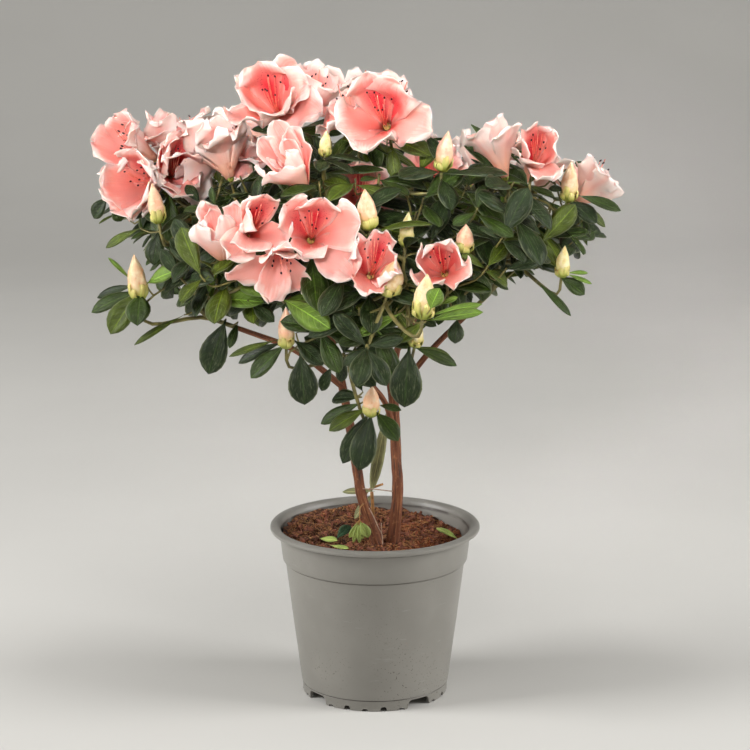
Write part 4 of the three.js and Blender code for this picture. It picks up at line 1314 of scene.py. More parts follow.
# radius and height of each ring from the pad under the pot, round the lip and down to the floor
POT_PROFILE = [
    (13.4, 0), (14.2, 0.5), (18.4, 5), (19.4, 5.5), (41.8, 5.5), (42.7, 5), (43.5, 0.5), (44, 0),
    (44.6, 0), (45.1, 0.5), (45.4, 6.1), (45.6, 6.4), (45.3, 6.7), (45.3, 7), (45.9, 7.4), (48.6, 28.5),
    (51.1, 47), (53.4, 66), (55.6, 83.6), (55.8, 84.3), (55.4, 84.6), (55.4, 85.1), (57, 85.5), (57.4, 86.2),
    (58.1, 92), (59.4, 102.8), (59.5, 103.7), (59.1, 104), (59.1, 104.4), (63.8, 104.3), (64.7, 104.7),
    (65.1, 105.5), (65, 106.6), (64.3, 107.4), (63.2, 107.8), (61.8, 107.8), (60.5, 107.3), (59.5, 106.5),
    (58.8, 105.3), (58.5, 103.8), (54.8, 85.6), (54.6, 84.6), (44.4, 8.6), (43.8, 8), (19, 8), (14, 1.6),
]
LOBES = 4
LOBE_TURN = -7.8
ARCH_WIDTH = 19.5
ARCH_HEIGHT = 5.7
ARCH_CORNER = 2.2
NOTCHES_PER_LOBE = 5
NOTCH_STEP = 14.6
NOTCH_WIDTH = 4.6
NOTCH_HEIGHTS = (1.6, 2.9)
NOTCH_CORNER = 1.2
FOOT_RADIUS = 44.3
CUTTER_DEPTH = 9
CUTTER_TAPER = 0.76


def turned_solid(name, profile, turns):
    """Draws a disc up through rings of given radius and height, and leaves its last face in edit mode."""
    deselect()
    radius, height = profile[0]
    place = (0, 0, height * MM)
    bpy.ops.mesh.primitive_circle_add(vertices=turns, radius=radius * MM, fill_type="NGON", location=place)
    solid = bpy.context.object
    solid.name = name
    bpy.ops.object.mode_set(mode="EDIT")
    bpy.ops.mesh.select_all(action="SELECT")
    for (r0, z0), (r1, z1) in zip(profile, profile[1:]):
        bpy.ops.mesh.extrude_region_move(TRANSFORM_OT_translate={"value": (0, 0, (z1 - z0) * MM)})
        bpy.ops.transform.resize(value=(r1 / r0, r1 / r0, 1), center_override=(0, 0, z1 * MM))
    return solid


def foot_cutter(width, height, turn, corner):
    """A block across the foot ring, narrower and round-cornered at its top, a turn from the front."""
    deselect()
    bpy.ops.mesh.primitive_cube_add(size=1, location=(0, -FOOT_RADIUS * MM, 0))
    cutter = bpy.context.object
    cutter.scale = (width * MM, CUTTER_DEPTH * MM, 2 * height * MM)
    apply_place(cutter)
    bpy.ops.object.mode_set(mode="EDIT")
    select_edges(cutter, lambda a, b: a.z > 0 and b.z > 0 and abs(a.x - b.x) < 1e-6)
    bpy.ops.transform.resize(value=(CUTTER_TAPER, 1, 1), center_override=(0, 0, 0))
    bpy.ops.mesh.bevel(offset=corner * MM, segments=6)
    bpy.ops.object.mode_set(mode="OBJECT")
    cutter.rotation_euler = (0, 0, math.radians(turn))
    apply_place(cutter)
    return cutter


class AZALEA_OT_pot(bpy.types.Operator):
    """Models the grey nursery pot with its rolled lip, collar and notched foot"""

    bl_idname = "azalea.pot"
    bl_label = "Pot"

    def execute(self, context):
        pot = turned_solid("nursery_pot", POT_PROFILE, POT_TURNS)
        bpy.ops.mesh.select_all(action="SELECT")
        bpy.ops.mesh.normals_make_consistent(inside=False)
        bpy.ops.object.mode_set(mode="OBJECT")
        apply_place(pot)
        cutters = []
        for lobe in range(LOBES):
            middle = LOBE_TURN + lobe * 360 / LOBES
            cutters.append(foot_cutter(ARCH_WIDTH, ARCH_HEIGHT, middle + 180 / LOBES, ARCH_CORNER))
            for i in range(NOTCHES_PER_LOBE):
                turn = middle + (i - (NOTCHES_PER_LOBE - 1) / 2) * NOTCH_STEP
                cutters.append(foot_cutter(NOTCH_WIDTH, NOTCH_HEIGHTS[i % 2], turn, NOTCH_CORNER))
        for cutter in cutters:
            apply_modifier(pot, "BOOLEAN", object=cutter, operation="DIFFERENCE", solver="EXACT")
            bpy.data.objects.remove(cutter)
        smooth(pot, 32)
        seat(pot, [pot_plastic(context.scene.azalea_colours)], ["pot"])
        return {"FINISHED"}


SOIL_RADIUS = 57
SOIL_PROFILE = [(43.8, 8.3), (54.2, 85), (SOIL_RADIUS, SOIL_LEVEL)]
SOIL_TURNS = 120
SOIL_RINGS = 34
SOIL_RING_WIDTH = 1.6
SCATTER_RADIUS = 54
STEM_CLEARANCE = 5
# how many chips, crumbs and fibres lie on the compost, and half the size of a chip and a crumb
CHIPS = 520
CRUMBS = 2600
FIBRES = 1500
CHIP_HALF = np.array([1.9, 0.9, 0.5])
CRUMB_HALF = np.array([0.6, 0.5, 0.45])


def soil_height(x, y):
    """The compost lies a little higher at the left and back, and is level round the stems."""
    share = smoothstep(np.hypot(x, y), SOIL_FLAT_RADIUS, SOIL_FLAT_RADIUS + 15)
    bumps = np.sin(x * 0.21 + 1) * np.cos(y * 0.17) + np.sin(x * 0.4 - y * 0.33)
    return SOIL_LEVEL + share * ((y - x) * SOIL_TILT + SOIL_BUMP * bumps)


class AZALEA_OT_compost(bpy.types.Operator):
    """Models the crumbly compost, and scatters chips, crumbs and fibres on it"""

    bl_idname = "azalea.compost"
    bl_label = "Compost"

    def execute(self, context):
        colours, sizes = context.scene.azalea_colours, context.scene.azalea_sizes
        soil = turned_solid("peat_compost", SOIL_PROFILE, SOIL_TURNS)
        for _ in range(SOIL_RINGS):
            bpy.ops.mesh.inset(thickness=SOIL_RING_WIDTH * MM)
        bpy.ops.object.mode_set(mode="OBJECT")
        apply_place(soil)
        lumps = sizes.peat_lumps / MM
        for vertex in soil.data.vertices:
            x, y, z = np.array(vertex.co) / MM
            if z > SOIL_LEVEL - 1:
                rough = noise.noise(Vector((x, y, 3)) * 0.33) + 0.6 * noise.noise(Vector((x, y, 9)) * 0.9)
                inside = smoothstep(math.hypot(x, y), SOIL_RADIUS, SOIL_RADIUS - 6)
                vertex.co.z = (soil_height(x, y) + lumps * (0.5 * rough - 0.25) * inside) * MM
        soil.data.update()
        smooth(soil, 60)
        seat(soil, [peat(colours)], ["compost"])

        draw = seeded(41)
        chips, crumbs, fibres = Heap(), Heap(), Heap()
        corners = np.array([(x, y, z) for x in (-1, 1) for y in (-1, 1) for z in (-1, 1)], float)
        sides = [(0, 1, 3, 2), (4, 6, 7, 5), (0, 4, 5, 1), (2, 3, 7, 6), (0, 2, 6, 4), (1, 5, 7, 3)]
        for kind, number, half in ((chips, CHIPS, CHIP_HALF), (crumbs, CRUMBS, CRUMB_HALF)):
            for _ in range(number):
                x, y = self.spot(draw)
                size = half * (0.5 + draw())
                turn = self.turned(draw)
                chipped = np.array([[draw() - 0.5 for _ in range(3)] for _ in corners])
                box = corners * size * (1 + 0.5 * chipped)
                kind.add(box @ turn + (x, y, soil_height(x, y) + 0.2 + 0.5 * draw()), sides)
        for _ in range(FIBRES):
            x, y = self.spot(draw)
            turn, span = draw() * 2 * math.pi, 2 + 6 * draw()
            way = np.array([math.cos(turn), math.sin(turn), 0.5 * (draw() - 0.5)])
            bow = np.array([-way[1], way[0], 0.6]) * span * 0.25 * (draw() - 0.3)
            start = np.array([x, y, soil_height(x, y) + 0.6]) - way * span / 2
            line = [start + way * span * t + bow * math.sin(math.pi * t) for t in (0, 0.33, 0.66, 1)]
            line = [p for p in line if math.hypot(p[0], p[1]) < SCATTER_RADIUS]
            if len(line) > 1:
                fibres.add(*tube(line, lambda t: 0.17 * (1 - 0.5 * t), 3))
        chip_skin = mottled("composted pine bark chips", linear("#7A4630"), 0.8, 0.45, 260, 0.4)
        crumb_skin = peat(colours, "dry peat crumbs", 1.3)
        fibre_skin = mottled("coir fibre", linear("#C08E5A"), 0.7, 0.4, 260, 0.4)
        for heap, name, material in (
            (chips, "bark_chips", chip_skin),
            (crumbs, "peat_crumbs", crumb_skin),
            (fibres, "coir_fibres", fibre_skin),
        ):
            piece = heap.make(name)
            smooth(piece, 30)
            seat(piece, [material])
        return {"FINISHED"}

    @staticmethod
    def spot(draw):
        """A random place on the compost, clear of the two stems."""
        feet = [stem["path"][0][:2] for stem in STEMS.values()]
        while True:
            turn, away = draw() * 2 * math.pi, SCATTER_RADIUS * math.sqrt(draw())
            at = (away * math.cos(turn), away * math.sin(turn))
            if all(math.dist(at, foot) > STEM_CLEARANCE for foot in feet):
                return at

    @staticmethod
    def turned(draw):
        """A random turn, as a matrix."""
        way = Vector([draw() - 0.5 for _ in range(3)])
        return np.array(way.to_track_quat("X", "Z").to_matrix())


# Stems, boughs and twigs


def bark_limb(name, path, radius_at, sides, rings, relief):
    """A limb whose surface stands up in lengthwise strips, with a UV map in metres round and along it."""
    line = spaced_points(path, rings)
    frames = frames_along(line)
    run = np.concatenate([[0], np.cumsum(np.linalg.norm(np.diff(line, axis=0), axis=1))])
    places = []
    for i, (at, (normal, other)) in enumerate(zip(line, frames)):
        radius = radius_at(i / rings)
        for j in range(sides):
            turn = j * 2 * math.pi / sides
            x, y = math.cos(turn), math.sin(turn)
            strips = noise.noise(Vector((x * 3.2, y * 3.2, run[i] * 0.045)))
            knots = noise.noise(Vector((x * 1.2 + 7, y * 1.2, run[i] * 0.12)))
            r = radius + relief * (1.1 * strips + 0.7 * knots)
            places.append(at + normal * x * r + other * y * r)
    # steps round and along the limb at each corner of the faces, in the faces' own order
    corners = []
    for i in range(rings):
        for j in range(sides):
            corners += [(j + 1, i), (j, i), (j, i + 1), (j + 1, i + 1)]
    corners += [(j, 0) for j in range(sides)] + [(j, rings) for j in reversed(range(sides))]
    girth = 2 * math.pi * radius_at(0.3)
    obj = mesh_object(name, places, tube_faces(sides, rings))
    set_uv(obj, "bark", np.array([(girth * j / sides, run[i]) for j, i in corners]) * MM)
    return obj


class AZALEA_OT_limbs(bpy.types.Operator):
    """Models the two stems and the boughs, with the relief of their bark"""

    bl_idname = "azalea.limbs"
    bl_label = "Stems and boughs"

    def execute(self, context):
        colours, sizes = context.scene.azalea_colours, context.scene.azalea_sizes
        # the flake colour of each bark is partly painted highlight, and its crack colour partly painted shade
        old = bark(colours.bark, "azalea bark, flaking", "#A87248", "#2C1812", 0.78)
        young = bark(colours.young_bark, "azalea bark, young", "#A08A5A", "#4A3A22", 0.66)
        relief = sizes.bark_relief / MM
        for name, stem in STEMS.items():
            def radius_at(t, radii=stem["radii"]):
                return between(radii, t) + FLARE * math.exp(-t * 20) - relief * 0.3

            piece = bark_limb(name + "_bark", stem["path"], radius_at, 30, 150, relief)
            seat(piece, [old], [name])
        for name, path in BOUGHS.items():
            piece = bark_limb(name + "_bark", path, lambda t: between(BOUGH_RADII, t), 16, 60, relief * 0.35)
            seat(piece, [young if "top" in name else old], [name])
        return {"FINISHED"}


class AZALEA_OT_twigs(bpy.types.Operator):
    """Grows the twigs and flower stalks of every mass"""

    bl_idname = "azalea.twigs"
    bl_label = "Twigs"

    def execute(self, context):
        heap = Heap()
        for twig in crown().twigs:
            if twig.tip is None:
                heap.add(*tube(twig.line, lambda t, radii=twig.radii: between(radii, t), 8))
                continue
            radii = FINE_RADII if twig.tip.fine else TWIG_RADII
            heap.add(*tube(twig.line, lambda t, radii=radii: between(radii, t), 6))
            for bloom in twig.tip.blooms:
                start = twig.tip.at - twig.tip.facing
                bow = (start + bloom.foot) / 2 + twig.tip.facing * 1.2
                heap.add(*tube([start, bow, bloom.foot + bloom.facing], lambda t: 0.8 - 0.1 * t, 6))
        piece = heap.make("twigs")
        material = mottled("azalea twig, olive", context.scene.azalea_colours.young_bark, 0.6, 0.35, 180)
        seat(piece, [material], FOLIAGE)
        return {"FINISHED"}


# Leaves

LEAF_ROWS = np.array([0, 0.09, 0.22, 0.38, 0.53, 0.67, 0.8, 0.9, 0.96, 1])
LEAF_HALVES = np.array([0.06, 0.09, 0.4, 0.76, 0.96, 1, 0.86, 0.58, 0.26, 0])


def leaf_pattern():
    """One leaf's places across, along, and beneath, and its upper and under faces."""
    across, along, under = [], [], []
    for v in LEAF_ROWS[:-1]:
        across += [-1, -0.5, 0, 0.5, 1, 0]
        along += [v] * 6
        under += [0] * 5 + [1]
    across.append(0)
    along.append(1)
    under.append(0)
    tip = len(along) - 1
    upper, lower = [], []
    last = (len(LEAF_ROWS) - 2) * 6
    for a in range(0, last, 6):
        b = a + 6
        upper += [(a + c, b + c, b + c + 1, a + c + 1) for c in range(4)]
        lower += [(a, a + 5, b + 5, b), (a + 5, a + 4, b + 4, b + 5)]
    upper += [(last + c, tip, last + c + 1) for c in range(4)]
    lower += [(last, last + 5, tip), (last + 5, last + 4, tip), (0, 1, 2, 3, 4, 5)]
    return np.array(across, float), np.array(along, float), np.array(under, float), upper, lower


def leaves_object(name, leaves):
    """Many leaves as one mesh, each a folded, bent blade with its own place in the bake's map."""
    across, along, under, upper, lower = leaf_pattern()
    half = np.interp(along, LEAF_ROWS, LEAF_HALVES)
    faces = upper + lower
    places, all_faces = [], []
    for leaf in leaves:
        y = across * half * leaf.width / 2
        bulge = np.where(np.abs(across) == 0.5, 0.1, 0) * half * leaf.width
        z = leaf.fold * np.abs(y) + bulge - leaf.bend * along**2 * leaf.length - 0.45 * under * half
        z += leaf.twist * y * along
        x = along * leaf.length * (1 - 0.3 * leaf.bend * along)
        all_faces += [tuple(i + len(places) * len(across) for i in face) for face in faces]
        places.append(leaf.root + np.outer(x, leaf.along) + np.outer(y, leaf.across) + np.outer(z, leaf.out))
    obj = mesh_object(name, np.vstack(places), all_faces)
    blade = np.array([((across[i] + 1) / 2, along[i]) for face in faces for i in face])
    is_under = np.array([1.0 if face in lower else 0.0 for face in faces for _ in face])
    uv = np.tile(blade, (len(leaves), 1))
    cell = np.repeat(np.arange(len(leaves)), len(blade))
    set_uv(obj, "blade", uv)
    bake_map(obj, uv[:, 0], uv[:, 1], np.tile(is_under, len(leaves)), cell, len(leaves))
    slots = np.tile([0] * len(upper) + [1] * len(lower), len(leaves))
    obj.data.polygons.foreach_set("material_index", slots.astype(np.int32))
    return obj


# shares of the sprays up to which the deep, the green and the olive leaves go; the rest are young
TONE_SHARES = [0.34, 0.74, 0.94]


class AZALEA_OT_leaves(bpy.types.Operator):
    """Grows the leaves, spray by spray, in four greens"""

    bl_idname = "azalea.leaves"
    bl_label = "Leaves"

    def execute(self, context):
        colours = context.scene.azalea_colours
        tones = {
            "leaves_deep": (colours.leaf_deep, 0.36),
            "leaves_green": (colours.leaf_green, 0.38),
            "leaves_olive": (colours.leaf_olive, 0.4),
            "leaves_young": (colours.leaf_young, 0.42),
        }
        dealt = {name: [] for name in tones}
        for tip, leaves, seed in crown().sprays:
            draw = seeded(seed + 31 * abs(tip.at[0]) + 17 * abs(tip.at[2]))
            # the first draw from a small seed is always small
            draw()
            name = list(tones)[int(np.searchsorted(TONE_SHARES, draw()))]
            dealt[name] += leaves
        for leaf, tone in crown().seen:
            dealt["leaves_" + tone].append(leaf)
        for name, (colour, gloss) in tones.items():
            colour = tuple(colour)
            piece = leaves_object(name, dealt[name])
            kind = name.replace("_", " ")
            skins = [leaf_top(kind + ", waxy", colour, gloss), leaf_under(kind + ", underside", colour)]
            seat(piece, skins, FOLIAGE)
        return {"FINISHED"}


# Blooms and buds

PETAL_ROWS = np.array(
    [0, 0.12, 0.24, 0.34, 0.43, 0.51, 0.58, 0.65, 0.715, 0.775, 0.83, 0.88, 0.92, 0.955, 0.98, 1]
)
PETAL_COLUMNS = np.linspace(-1, 1, 11)
PETAL_KNOTS = np.array([0, 0.15, 0.3, 0.45, 0.6, 0.75, 0.88, 1])
OPEN_OUT = np.array([0.08, 0.16, 0.26, 0.39, 0.55, 0.73, 0.88, 1])
OPEN_UP = np.array([0, 0.24, 0.46, 0.66, 0.83, 0.95, 1, 1])
CUP_OUT = np.array([0.1, 0.32, 0.55, 0.76, 0.92, 1, 0.97, 0.88])
CUP_UP = np.array([0, 0.1, 0.25, 0.42, 0.6, 0.77, 0.9, 1])
# half a blade's breadth as a share of the bloom's radius, and half a fused tube's fifth of its own
BLADE_KNOTS = np.array([0, 0.3, 0.45, 0.56, 0.66, 0.75, 0.83, 0.9, 0.955, 0.98, 1])
BLADE_HALVES = np.array([0.05, 0.24, 0.36, 0.45, 0.49, 0.49, 0.44, 0.34, 0.21, 0.13, 0.02])
TUBE_HALF = 0.68
SCALE_THICKNESS = 0.3


def bloom_axes(facing):
    """A bloom's upward and sideways directions, square to the way it faces."""
    up = UP if abs(facing[2]) < 0.95 else np.array([0.0, 1.0, 0.0])
    up = unit(up - facing * facing.dot(up))
    return up, np.cross(facing, up)


def turn_of(bloom, place):
    """The turn round a bloom's axis at which a place lies."""
    up, side = bloom_axes(bloom.facing)
    return math.atan2((place - bloom.foot).dot(side), (place - bloom.foot).dot(up))


def lobe(bloom, turn, size, open_share, blotch, lift, ruffle, draw, end=None, tube_half=TUBE_HALF):
    """One lobe of a bloom: its share of the tube at the foot, then a broad blade with waved edges."""
    up, side = bloom_axes(bloom.facing)
    out = up * math.cos(turn) + side * math.sin(turn)
    sideways = np.cross(bloom.facing, out)
    radius, depth = bloom.width / 2 * size, bloom.depth
    t, s = PETAL_ROWS, PETAL_COLUMNS[None, :]
    r = np.interp(t, PETAL_KNOTS, between((CUP_OUT, OPEN_OUT), open_share)) * radius
    a = np.interp(t, PETAL_KNOTS, between((CUP_UP, OPEN_UP), open_share)) * depth
    # the upper lobes stand up like a hood, the lower ones fall open, and each curls back a little differently
    freed = smoothstep(t, 0.3, 1)
    lean = (1.1 * (draw() - 0.5) - 0.3 * math.cos(turn)) * open_share
    curl_back = (0.1 + 0.6 * draw()) * open_share
    if end is None:
        r = r * (1 + 0.16 * lean * freed)
        a = a - depth * (0.4 * lean * freed + curl_back * np.maximum(t - 0.6, 0) ** 1.4 * 2)
    else:
        r = r + ((end - bloom.foot).dot(out) - r[-1]) * freed
        a = a + ((end - bloom.foot).dot(bloom.facing) - a[-1]) * freed
    dr, da = np.gradient(r), np.gradient(a)
    span = np.maximum(np.hypot(dr, da), 1e-9)
    inner_r, inner_a = -da / span, dr / span
    blade = np.interp(t, BLADE_KNOTS, BLADE_HALVES) * radius * (0.92 + 0.16 * draw())
    blade *= between((1.2, 1), open_share) * (1 if end is None else SEEN_LOBE_BREADTH)
    free_from = (0.28, 0.5) if end is None else (0.44, 0.74)
    half = np.maximum(blade, tube_half * r * (1 - smoothstep(t, *free_from)))[:, None]
    hollow = between((0.95, 0.1 + 0.7 * draw()), open_share) / radius
    curl = between((1 / np.maximum(r, 0.5), np.full_like(r, hollow)), smoothstep(t, 0.3, 0.6))[:, None]
    phases = [np.where(s < 0, draw(), draw()) for _ in range(3)]
    waves, drift, crease, tilt = 1.3 + 1.2 * draw(), draw() - 0.5, draw(), 0.16 + 0.3 * (draw() - 0.5)
    t = t[:, None]
    edge = smoothstep(t, 0.36, 0.72)
    half = half * (1 + 0.09 * edge * np.abs(s) * np.sin(2 * math.pi * (1.9 * t + phases[0])))
    y = np.sin(curl * half * s) / curl + radius * 0.2 * drift * t**2 * edge
    wave = np.abs(s) ** 1.5 * np.sin(2 * math.pi * (waves * t + phases[1]))
    wave = wave + 0.4 * np.abs(s) ** 3 * np.sin(2 * math.pi * (3.1 * waves * t + phases[2]))
    wave = wave + 0.5 * smoothstep(t, 0.7, 1) * np.sin(2 * math.pi * (0.8 * s + crease))
    inward = (1 - np.cos(curl * half * s)) / curl + lift + edge * (
        ruffle * radius * 0.12 * wave - radius * 0.05 * np.exp(-9 * s * s) + tilt * s * half
    )
    grid = (
        bloom.foot
        + (r[:, None] + inner_r[:, None] * inward)[..., None] * out
        + (a[:, None] + inner_a[:, None] * inward)[..., None] * bloom.facing
        + y[..., None] * sideways
    )
    tells = np.stack(np.broadcast_arrays(np.abs(s), t, blotch, 0), axis=-1).reshape(-1, 4)
    return grid, tells.astype(float)


def stamens(bloom, number, draw, threads, anthers, width):
    """Curved threads from the throat, each with a dark anther, and a longer style."""
    up, side = bloom_axes(bloom.facing)
    ball, ball_faces = small_ball()
    for i in range(number + 1):
        is_style = i == number
        turn = 2 * math.pi * (i / number) + 0.6 * draw()
        reach = bloom.depth * (1.2 if is_style else 0.8 + 0.3 * draw())
        spread = 0.05 if is_style else 0.12 + 0.2 * draw()
        out = up * math.cos(turn) + side * math.sin(turn)
        line = []
        for t in (0, 0.3, 0.6, 0.85, 1):
            risen = bloom.foot + bloom.facing * (bloom.depth * 0.1 + reach * t)
            bowed = out * spread * t**1.3 + up * (0.34 * t * t - 0.14 * t)
            line.append(risen + bowed * reach)
        threads.add(*tube(line, lambda t: width / 2 * (1.2 if is_style else 1 - 0.3 * t), 4))
        if not is_style:
            axes = np.column_stack([out, np.cross(bloom.facing, out), bloom.facing])
            anthers.add((ball * (0.6, 0.6, 1.1)) @ axes.T + line[-1], ball_faces)


@functools.lru_cache(maxsize=1)
def small_ball():
    """A ball of 20 faces."""
    shape = bmesh.new()
    bmesh.ops.create_icosphere(shape, subdivisions=1, radius=1)
    places = np.array([v.co for v in shape.verts])
    faces = [tuple(v.index for v in face.verts) for face in shape.faces]
    shape.free()
    return places, faces


def scale_grid(foot, facing, turn, length, width, spread):
    """One pointed scale that hugs a bud or the foot of a bloom."""
    up, side = bloom_axes(facing)
    out = up * math.cos(turn) + side * math.sin(turn)
    sideways = np.cross(facing, out)
    rows, columns = np.array([0, 0.3, 0.6, 0.85, 1]), np.array([-1, 0, 1])
    grid = np.zeros((len(rows), len(columns), 3))
    tells = []
    for i, t in enumerate(rows):
        half = width / 2 * (0.45 + 1.1 * t - 1.5 * t * t)
        away = spread * math.sin(math.pi * min(1, 0.15 + t * 0.75))
        for j, s in enumerate(columns):
            hug = out * (away - 0.25 * abs(s) * half)
            grid[i, j] = foot + facing * length * t + hug + sideways * half * s
            tells.append((abs(s), t, 1, 0))
    return grid, np.array(tells)


class AZALEA_OT_blooms(bpy.types.Operator):
    """Opens the blooms: ruffled lobes, threads and anthers"""

    bl_idname = "azalea.blooms"
    bl_label = "Blooms"

    # masses whose blooms have a second round of lobes
    FULL = ("left_top", "back_left", "back_centre")

    def execute(self, context):
        colours, sizes = context.scene.azalea_colours, context.scene.azalea_sizes
        petals, threads, anthers = Heap(), Heap(), Heap()
        grids = []
        for bloom in crown().blooms:
            draw = seeded(abs(37 * bloom.foot[0]) + abs(11 * bloom.foot[1]) + 5 * bloom.foot[2])
            open_share = float(np.clip((bloom.width / 2 / bloom.depth - 0.45) / 0.5, 0, 1))
            ends = seen_lobe_ends(bloom)
            turns = [turn_of(bloom, end) for end in ends]
            # each round of lobes: its start, its size, its number of lobes, and how far it is open
            rounds = [] if ends else [(0.0, 1.0, 5, open_share)]
            if open_share < 0.3:
                rounds.append((0.6, 0.72, 3, open_share))
            elif bloom.key[0] in self.FULL:
                rounds.append((0.63, 0.64, 4, open_share * 0.4))

            def add_lobe(i, turn, size, opened, lift=0.0, end=None, tube_half=TUBE_HALF):
                blotch = smoothstep(math.cos(turn), 0.2, 0.9) if open_share > 0.4 else 0.15
                lift += 0.45 * (i % 2) + 0.2 * draw()
                ruffle = sizes.ruffle * (0.7 + 0.6 * draw())
                grids.append(lobe(bloom, turn, size, opened, blotch, lift, ruffle, draw, end, tube_half))

            for i, (end, turn) in enumerate(zip(ends, turns)):
                # half the way to the further of its two neighbours
                apart = sorted((other - turn) % (2 * math.pi) for other in turns if other != turn)
                share = min(1.3, max(apart[0], 2 * math.pi - apart[-1]) / 2 + 0.08)
                add_lobe(i, turn, 1.0, open_share, end=end, tube_half=share)
            for start, size, number, opened in rounds:
                inside = 0 if size == 1 else 1.2
                for i in range(number):
                    turn = start + 2 * math.pi * i / number + (draw() - 0.5) * 0.15
                    add_lobe(i, turn, size, opened, inside)
            if open_share > 0.45:
                stamens(bloom, 7, draw, threads, anthers, sizes.filament_width / MM)
        for grid, tells in grids:
            petals.add(*shell(grid, sizes.petal_thickness / MM, tells))
        piece = petals.make("petals", "petal")
        self.lay_out(piece, len(grids))
        seat(piece, [petal_skin(colours)], FOLIAGE)
        piece = threads.make("filaments")
        seat(piece, [mottled("azalea filament, coral", linear("#F08A74"), 0.5)])
        piece = anthers.make("anthers")
        seat(piece, [mottled("azalea anther, maroon", tuple(colours.anther), 0.6)])
        return {"FINISHED"}

    @staticmethod
    def lay_out(piece, number):
        """Gives each lobe its own cell in the bake's map: its front at the left, the rest at the right."""
        rows, columns = len(PETAL_ROWS), len(PETAL_COLUMNS)
        per_lobe = 2 * rows * columns
        vertices = np.zeros(len(piece.data.loops), int)
        piece.data.loops.foreach_get("vertex_index", vertices)
        cell, inside = vertices // per_lobe, vertices % per_lobe
        behind = inside >= rows * columns
        # a face of the rim joins front and back, and lies with the back
        sides = np.zeros(len(piece.data.loops), bool)
        for face in piece.data.polygons:
            loops = slice(face.loop_start, face.loop_start + face.loop_total)
            sides[loops] = behind[loops].any()
        u = (PETAL_COLUMNS[inside % columns] + 1) / 2
        v = PETAL_ROWS[(inside % (rows * columns)) // columns]
        bake_map(piece, u, v, sides, cell, number)


class AZALEA_OT_buds(bpy.types.Operator):
    """Models the pointed buds, and the scales round buds and blooms"""

    bl_idname = "azalea.buds"
    bl_label = "Buds"

    def execute(self, context):
        heap = Heap()
        for tip in crown().buds:
            width, depth = tip.bud
            draw = seeded(abs(29 * tip.at[0]) + 13 * tip.at[2])
            peach = 0.1
            if width > 8:
                # the first draw from a small seed is always small
                draw()
                peach = 0.35 + 0.65 * draw()
            self.add_body(heap, tip.at, tip.facing, width, depth, peach)
            foot = tip.at - tip.facing * 1.5
            for i in range(9):
                turn = i * 2.4 + 0.5 * draw()
                length = depth * (0.28 + 0.38 * draw())
                grid, tells = scale_grid(foot, tip.facing, turn, length, width * 0.6, width * 0.56)
                heap.add(*shell(grid, SCALE_THICKNESS, tells))
        for bloom in crown().blooms:
            draw = seeded(abs(19 * bloom.foot[0]) + 3 * bloom.foot[2])
            foot = bloom.foot - bloom.facing * 2
            for i in range(5):
                turn = i * 2 * math.pi / 5 + 0.4 * draw()
                grid, tells = scale_grid(foot, bloom.facing, turn, 4.5 + 3 * draw(), 3.4, 1.9)
                heap.add(*shell(grid, SCALE_THICKNESS, tells))
        piece = heap.make("buds", "bud")
        seat(piece, [bud_skin()], FOLIAGE)
        return {"FINISHED"}

    @staticmethod
    def add_body(heap, at, facing, width, depth, peach):
        """The rolled lobes of one bud: a pointed egg with five turning laps."""
        up, side = bloom_axes(facing)
        rows = np.array([0, 0.1, 0.22, 0.36, 0.5, 0.63, 0.76, 0.88, 0.96, 1])
        radii = np.array([0.4, 0.72, 0.94, 1, 0.95, 0.8, 0.56, 0.3, 0.13, 0.03]) * width / 2
        sides, places, tells = 20, [], []
        for t, radius in zip(rows, radii):
            for j in range(sides):
                turn = j * 2 * math.pi / sides
                # each lobe laps over the next one
                lap = (5 * turn / (2 * math.pi) + 1.1 * t) % 1
                r = radius * (0.88 + 0.2 * lap)
                places.append(at + facing * depth * t + (up * math.cos(turn) + side * math.sin(turn)) * r)
                tells.append((lap, t, 0, peach))
        # its places run round the other way than a tube's
        faces = [face[::-1] for face in tube_faces(sides, len(rows) - 1)]
        heap.add(places, faces, tells)


# Foot of the plant


